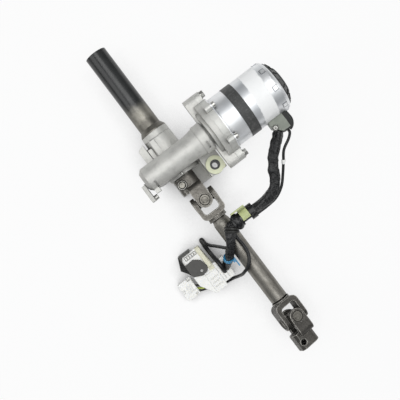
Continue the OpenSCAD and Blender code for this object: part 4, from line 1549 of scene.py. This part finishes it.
@dataclass
class MotorUnit:
    """The motor with its flange screws, the boot's screw and the cable beside the boot.

    Places, profiles and the can are in millimetres, the sizes of small forms and crimp tabs in metres.
    """

    can_r: float = 37.5
    can_end: float = 168.8
    screw_ring: float = 43.0
    screw_turns: tuple[float, ...] = (-36, 36, 144, 216)
    head_x: float = 84.8
    drive_r: float = 0.0022
    seam_front: float = 81.2
    seam_back: float = 5.4
    seam_sink: float = 0.1
    seam_wire: float = 0.00045
    seam_sides: int = 96
    crimps: int = 8
    crimp_start: float = 10.0
    crimp_back: float = 8.8
    crimp_half: float = 0.0036
    crimp_front: float = 0.0033
    crimp_slot: Block = (0.0011, 0.0072, 0.0005)
    boot_screw_at: Point = (132.4, -47.5, 51.9)
    boot_screw_profile: Profile = (
        (4.3, 0), (4.3, 0.9), (3.1, 1.0), (3.2, 2.2), (2.7, 2.9), (1.4, 3.1), (1.2, 2.2), (0.3, 2.1),
    )
    boot_screw_sides: int = 26
    boot_lead_r: float = 0.0021
    boot_lead_sides: int = 14
    ribs: int = 16
    rib_ring: float = 27.0
    rib_back: float = 4.6
    cone_out: float = 10.7
    cone_in: float = 5.6
    rib_block: Block = (0.0016, 0.009, 0.0011)

    def build(self) -> None:
        """Makes the small pieces of the motor."""
        self.screw_drives()
        self.crimp_slots()
        self.seams()
        screw = Lathe(self.boot_screw_profile, self.boot_screw_sides)
        screw.dress("boot_screw", BOLT, at(*self.boot_screw_at), UP)
        Wires("boot_lead", LEAD, self.boot_lead_r, self.boot_lead_sides).dress([BOOT_LEAD_ROUTE])
        self.rear_cap()

    def screw_drives(self) -> None:
        """The hexagon drives in the flange screws, as dark discs painted as their shade."""
        spots: list[Spot] = []
        for turn in map(math.radians, self.screw_turns):
            y, z = -self.screw_ring * math.sin(turn), GEAR_Z + self.screw_ring * math.cos(turn)
            spots.append(Spot(at(self.head_x, y, z), RIGHT, UP))
        drives = Pattern("flange_screw_drives", Form.PRISM, SOCKET_SHADE, self.drive_r, DRIVE_DEPTH, sides=HEXAGON)
        drives.dress(Body.HOUSING, spots)

    def crimp_slots(self) -> None:
        """Darker blocks painted as the shade in the slots round each crimp tab near the can's rear end."""
        spots: list[Spot] = []
        for number in range(self.crimps):
            angle = math.radians(360 / self.crimps * number + self.crimp_start)
            out = Vector((0, math.sin(angle), -math.cos(angle)))
            round_it = Vector((0, math.cos(angle), math.sin(angle)))
            middle = at(self.can_end - self.crimp_back, 0, GEAR_Z) + out * self.can_r / 1000
            spots += [Spot(middle + round_it * side * self.crimp_half, RIGHT, out) for side in BOTH_SIDES]
            spots.append(Spot(middle - RIGHT * self.crimp_front, round_it, out))
        Pattern("crimp_slots", Form.BLOCK, CRIMP_SLOT_SHADE, *self.crimp_slot).dress(Body.HOUSING, spots)

    def seams(self) -> None:
        """The rolled seams at the can's two ends."""
        radius = (self.can_r - self.seam_sink) / 1000
        places = (self.seam_front, self.can_end - self.seam_back)
        seam = Hoop("can_seams", CAN_PLATE, radius, self.seam_wire, self.seam_sides, places)
        spots = [Spot(at(x, 0, GEAR_Z), RIGHT, UP) for x in seam.places]
        seam.pattern(seam.name).dress(Body.HOUSING, spots)

    def rear_cap(self) -> None:
        """Moulded ribs on the cone of the end cap."""
        ring = ring_of(at(self.can_end + self.rib_back, 0, GEAR_Z), RIGHT, self.rib_ring, self.ribs)
        spots: list[Spot] = []
        for place, out in ring:
            slope = (out * self.cone_out - RIGHT * self.cone_in).normalized()
            spots.append(Spot(place, slope, RIGHT))
        Pattern("end_cap_ribs", Form.BLOCK, CAP, *self.rib_block).dress(Body.HOUSING, spots)


@dataclass
class CrossJoint:
    """One cross joint: the rings, the dark rings painted as the shade in the cups' gaps, and the stakes at
    the two pairs of its bearing cups.

    Places are in millimetres from the joint's centre, the sizes of small forms in metres.
    """

    name: str
    centre: Point
    pairs: tuple[tuple[Vector, Body], ...]
    steel: Finish
    hoops: tuple[Hoop, ...] = (
        Hoop("cup_rings", CUP, 0.0043, 0.0004, 36, (18.22,)),
        # A dark ring painted as the shade in the gap round each cup.
        Hoop("cup_gap_shade", GAP_SHADE, 0.0074, 0.0006, 48, (18.45,)),
    )
    ear: float = 18.6
    stakes: int = 4
    stake_ring: float = 9.0
    stake_start: float = 0.125
    stake_r: float = 0.0011
    stake_depth: float = 0.0005
    stake_spread: float = 0.25

    def build(self) -> None:
        """Makes the marks at the cups."""
        for number, (axis, body) in enumerate(self.pairs):
            self.cups(axis, body, number)

    def cups(self, axis: Vector, body: Body, number: int) -> None:
        """Makes the marks at one pair of cups.

        Args:
            axis: the axis of the pair.
            body: what the pair's ears belong to.
            number: the pair's number in the joint.
        """
        hub = at(*self.centre)
        ends = [axis.normalized() * side for side in BOTH_SIDES]
        side = axis.cross(ALONG).normalized()
        for hoop in self.hoops:
            spots = [Spot(hub + way * place / 1000, way, side) for place in hoop.places for way in ends]
            hoop.pattern(f"{self.name}_{hoop.name}_{number}").dress(body, spots)
        spots = []
        for way in ends:
            ear = hub + way * self.ear / 1000
            ring = ring_of(ear, way, self.stake_ring, self.stakes, self.stake_start)
            spots += [Spot(place, way, out) for place, out in ring]
        name = f"{self.name}_stakes_{number}"
        sizes = (self.stake_r, self.stake_depth)
        Pattern(name, Form.BEAD, self.steel, *sizes, spread=self.stake_spread).dress(body, spots)


@dataclass
class LowerShaft:
    """The jointed shaft: weld bead, bolt thread, splines and both cross joints.

    Places are in millimetres, the sizes of small forms in metres.
    """

    upper: Point = (0, -67.2, 0)
    lower: Point = (0, -272.5, 0)
    tilt: float = 18.0
    tube_r: float = 12.5
    weld_y: float = -98.7
    weld_beads: int = 40
    weld_r: float = 0.0015
    weld_height: float = 0.0011
    weld_spread: float = 0.18
    weld_seed: int = 5
    pinch_x: float = -13.0
    pinch_up: float = 34.5
    bolt_hoops: tuple[Hoop, ...] = (
        Hoop("pinch_bolt_thread", PINCH, 0.00395, 0.0003, 32, (13.7, 14.3, 14.9)),
        Hoop("split_washer_edge", WASHER, 0.0058, 0.0007, 44, (13.1,)),
        # Dark rings painted as the shade in the gaps round and under the washer.
        Hoop("washer_gap_shade", GAP_SHADE, 0.0047, 0.0005, 44, (13.1,)),
        Hoop("washer_seat_shade", GAP_SHADE, 0.0069, 0.0005, 44, (11.3,)),
    )
    hole_y: float = -307.0
    hole_rim: Hoop = Hoop("pinch_hole_rims", DARK_YOKE, 0.0053, 0.0006, 40, (-11.2, 11.2))
    bore_r: float = 7.6
    teeth: int = 36
    tooth_width: float = 0.0008
    tooth_height: float = 0.0006
    spline_seats: tuple[tuple[str, float, float, Body], ...] = (
        ("pinion_splines", -304.5, 22.0, Body.LOWER_END),
        ("column_splines", 170.5, 18.0, Body.STEER),
    )

    def build(self) -> None:
        """Makes the small pieces of the shaft."""
        lean = math.radians(self.tilt)
        across = Vector((math.cos(lean), 0, -math.sin(lean)))
        upright = Vector((math.sin(lean), 0, math.cos(lean)))
        upper_pairs = ((UP, Body.STEER), (RIGHT, Body.MID_SHAFT))
        CrossJoint("upper_joint", self.upper, upper_pairs, YOKE).build()
        lower_pairs = ((across, Body.SLIDER), (upright, Body.LOWER_END))
        CrossJoint("lower_joint", self.lower, lower_pairs, DARK_YOKE).build()
        self.weld()
        self.pinch_bolt()
        self.pinch_hole(lean, across, upright)
        for seat in self.spline_seats:
            self.splines(*seat)

    def weld(self) -> None:
        """The rippled weld bead between the yoke's collar and the shaft tube."""
        ring = ring_of(at(0, self.weld_y, 0), ALONG, self.tube_r, self.weld_beads)
        sizes = (self.weld_r, self.weld_height)
        bead = Pattern("weld_bead", Form.BEAD, YOKE, *sizes, spread=self.weld_spread, seed=self.weld_seed)
        bead.dress(Body.MID_SHAFT, [Spot(place, ALONG, out) for place, out in ring])

    def pinch_bolt(self) -> None:
        """Thread turns on the pinch bolt's end, and the split washer with dark rings beside it painted as the
        shade in its gaps.
        """
        y = self.upper[1] + self.pinch_up
        for hoop in self.bolt_hoops:
            spots = [Spot(at(self.pinch_x, y, height), UP, RIGHT) for height in hoop.places]
            hoop.pattern(hoop.name).dress(Body.STEER, spots)

    def pinch_hole(self, lean: float, across: Vector, upright: Vector) -> None:
        """The rims of the lower clamp's pinch hole.

        Args:
            lean: the lower clamp's turn about the shaft, in radians.
            across: the clamp's own sideways direction.
            upright: the hole's axis.
        """
        hole = at(self.pinch_x * math.cos(lean), self.hole_y, -self.pinch_x * math.sin(lean))
        spots = [Spot(hole + upright * (place / 1000), upright, across) for place in self.hole_rim.places]
        self.hole_rim.pattern(self.hole_rim.name).dress(Body.LOWER_END, spots)

    def splines(self, name: str, middle: float, length: float, body: Body) -> None:
        """Spline teeth inside a bore.

        Args:
            name: the object's name.
            middle: where the middle of the teeth is along the column.
            length: their length in millimetres.
            body: what they ride on.
        """
        ring = ring_of(at(0, middle, 0), ALONG, self.bore_r, self.teeth)
        tooth = Pattern(name, Form.BLOCK, SHAFT, self.tooth_width, length / 1000, self.tooth_height)
        tooth.dress(body, [Spot(place, ALONG, out) for place, out in ring])


@dataclass
class Connectors:
    """The small connector's terminals, latch and coloured wires.

    Places are in millimetres, the pins' rows above the floor, the sizes of small forms in metres.
    """

    wire_r: float = 0.0014
    pin_x: float = -101.5
    pin_columns: tuple[float, ...] = (-164, -148)
    pin_rows: tuple[float, ...] = (4, 11)
    pin_block: Block = (0.0007, 0.007, 0.0022)
    ribs: int = 4
    rib_pitch: float = 2.2
    first_rib: Point = (-97, -157, FLOOR_Z + 16.5)
    rib_block: Block = (0.0009, 0.0007, 0.008)

    def build(self) -> list[bpy.types.Object]:
        """Makes the small pieces of the connectors.

        Returns:
            The pieces.
        """
        first, green, last = PIGTAIL_ROUTES
        return [
            Wires("green_pigtail", GREEN_WIRE, self.wire_r).dress([green], "pigtail_wires"),
            Wires("black_pigtails", BLACK_WIRE, self.wire_r).dress([first, last]),
            self.pins(),
            self.latch_ribs(),
        ]

    def pins(self) -> bpy.types.Object:
        """The pins in the small connector's four cavities.

        Returns:
            The pins as one piece.
        """
        places = [(y, FLOOR_Z + row) for y in self.pin_columns for row in self.pin_rows]
        spots = [Spot(at(self.pin_x, y, z), RIGHT, UP) for y, z in places]
        return Pattern("connector_pins", Form.BLOCK, PIN, *self.pin_block).dress(Body.HOUSING, spots)

    def latch_ribs(self) -> bpy.types.Object:
        """Grip ribs on the small connector's latch.

        Returns:
            The ribs as one piece.
        """
        x, y, z = self.first_rib
        spots = [Spot(at(x + self.rib_pitch * number, y, z), UP, RIGHT) for number in range(self.ribs)]
        return Pattern("latch_ribs", Form.BLOCK, WHITE, *self.rib_block).dress(Body.HOUSING, spots)


@dataclass
class Studio:
    """Pale floor, soft lamps and the camera, in metres and degrees."""

    aim: Point = (-0.0056, -0.2507, 0.0)
    height: float = 1.05
    turn: float = -37.0
    view_angle: float = 29.9
    near_clip: float = 0.05
    floor_half: float = 6.0
    floor_gap: float = 0.0004
    paper_grey: float = 0.86
    seen_share: float = 0.86
    shadow_reach: float = 0.07
    shadow_deep: float = 0.1
    shadow_open: float = 0.75
    shadow_least: float = 0.15
    shadow_samples: int = 8
    lamps: tuple[tuple[str, Point, float, float], ...] = (
        ("overhead_lamp", (0.05, -0.2, 1.7), 1.5, 17.0),
        ("left_lamp", (-1.2, 0.35, 1.0), 1.1, 5.5),
        ("right_lamp", (1.2, -0.6, 0.9), 0.6, 2.0),
    )
    sky_stops: tuple[tuple[float, float], ...] = (
        (0.0, 0.22), (0.12, 0.16), (0.42, 0.14), (0.6, 0.3), (0.85, 0.42), (1.0, 0.5),
    )
    sky_tint: Colour = (0.97, 1.0, 1.02)

    def build(self) -> None:
        """Sets the camera, the floor, the lamps and the sky."""
        scene = bpy.context.scene
        scene.view_settings.view_transform = "Standard"
        lens = bpy.data.cameras.new("camera")
        lens.angle = math.radians(self.view_angle)
        lens.clip_start = self.near_clip
        camera = placed("camera", lens)
        camera.location = (self.aim[0], self.aim[1], self.height)
        camera.rotation_euler = (0, 0, math.radians(self.turn))
        scene.camera = camera
        self.floor()
        self.sky()
        for name, spot, size, power in self.lamps:
            self.lamp(name, Vector(spot), size, power)

    def lamp(self, name: str, spot: Vector, size: float, power: float) -> None:
        """A square soft lamp that faces the part.

        Args:
            name: its name.
            spot: where it stands.
            size: its width.
            power: its power in watts.
        """
        light = bpy.data.lights.new(name, "AREA")
        light.size = size
        light.energy = power
        lamp = placed(name, light)
        lamp.location = spot
        lamp.rotation_euler = (Vector(self.aim) - spot).to_track_quat("-Z", "Y").to_euler()

    def floor(self) -> None:
        """A pale floor that keeps a faint shadow and reads as white to the camera."""
        low, half = FLOOR_Z / 1000 - self.floor_gap, self.floor_half
        mesh = bpy.data.meshes.new("floor")
        corners = [(-half, -half, low), (half, -half, low), (half, half, low), (-half, half, low)]
        mesh.from_pydata(corners, [], [(0, 1, 2, 3)])
        mesh.materials.append(self.floor_paper())
        floor = placed("floor", mesh)

    def floor_paper(self) -> bpy.types.Material:
        """The floor's matte paper, which glows to the camera except in the part's shadow.

        Returns:
            The material.
        """
        paper = bpy.data.materials.new("floor_paper")
        paper.use_nodes = True
        tree = paper.node_tree
        tree.nodes.clear()
        matte = add_node(tree, "ShaderNodeBsdfDiffuse", {"Color": (*[self.paper_grey] * 3, 1)})
        reach = {"Distance": self.shadow_reach}
        near = add_node(tree, "ShaderNodeAmbientOcclusion", reach, samples=self.shadow_samples)
        bounds = {"From Min": self.shadow_deep, "From Max": self.shadow_open, "To Min": self.shadow_least}
        fade = add_node(tree, "ShaderNodeMapRange", {"Value": near.outputs["AO"], **bounds})
        glow = add_node(tree, "ShaderNodeEmission", {"Strength": fade.outputs["Result"]})
        shares = {"Fac": self.seen_rays(tree), 1: matte.outputs["BSDF"], 2: glow.outputs["Emission"]}
        mix = add_node(tree, "ShaderNodeMixShader", shares)
        add_node(tree, "ShaderNodeOutputMaterial", {"Surface": mix.outputs["Shader"]})
        return paper

    def seen_rays(self, tree: bpy.types.NodeTree) -> Socket:
        """The floor's glowing share for rays from the camera, from gloss and through glass.

        Args:
            tree: the floor's node tree.

        Returns:
            The value socket, which is 0 for all other rays.
        """
        path = add_node(tree, "ShaderNodeLightPath")
        total = path.outputs["Is Camera Ray"]
        for name in ("Is Glossy Ray", "Is Transmission Ray"):
            pair = {0: total, 1: path.outputs[name]}
            total = add_node(tree, "ShaderNodeMath", pair, operation="MAXIMUM").outputs[0]
        pair = {0: total, 1: self.seen_share}
        return add_node(tree, "ShaderNodeMath", pair, operation="MULTIPLY").outputs[0]

    def sky(self) -> None:
        """A soft sky, bright overhead and greyer towards the sides, which metal reflects."""
        world = bpy.data.worlds.new("studio")
        bpy.context.scene.world = world
        world.use_nodes = True
        tree = world.node_tree
        tree.nodes.clear()
        place = add_node(tree, "ShaderNodeTexCoord")
        split = add_node(tree, "ShaderNodeSeparateXYZ", {"Vector": place.outputs["Generated"]})
        ramp = add_node(tree, "ShaderNodeValToRGB", {"Fac": split.outputs["Z"]})
        stops = ramp.color_ramp.elements
        while len(stops) < len(self.sky_stops):
            stops.new(0.5)
        for stop, (spot, level) in zip(stops, self.sky_stops):
            stop.position = spot
            stop.color = (*(level * part for part in self.sky_tint), 1)
        back = add_node(tree, "ShaderNodeBackground", {"Color": ramp.outputs["Color"]})
        add_node(tree, "ShaderNodeOutputWorld", {"Surface": back.outputs["Background"]})


def dress_solids(nodes: dict[str, bpy.types.Object]) -> None:
    """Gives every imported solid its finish.

    Args:
        nodes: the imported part's nodes by name.
    """
    for finish, names in CAD_FINISHES.items():
        for name in names:
            mesh = nodes[name].data
            mesh.materials.clear()
            mesh.materials.append(finish.material())
            log.info("%s has the finish %s", name, finish.name)


def main() -> None:
    """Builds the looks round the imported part."""
    logging.basicConfig(level=logging.INFO, format="%(message)s")
    for thing in list(bpy.data.objects):
        bpy.data.objects.remove(thing)
    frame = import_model()
    Studio().build()
    dress_solids(frame["nodes"])
    plugs = Connectors().build()
    Loom().build(plugs)
    GearCase().build()
    MotorUnit().build()
    LowerShaft().build()


if __name__ == "__main__":
    main()
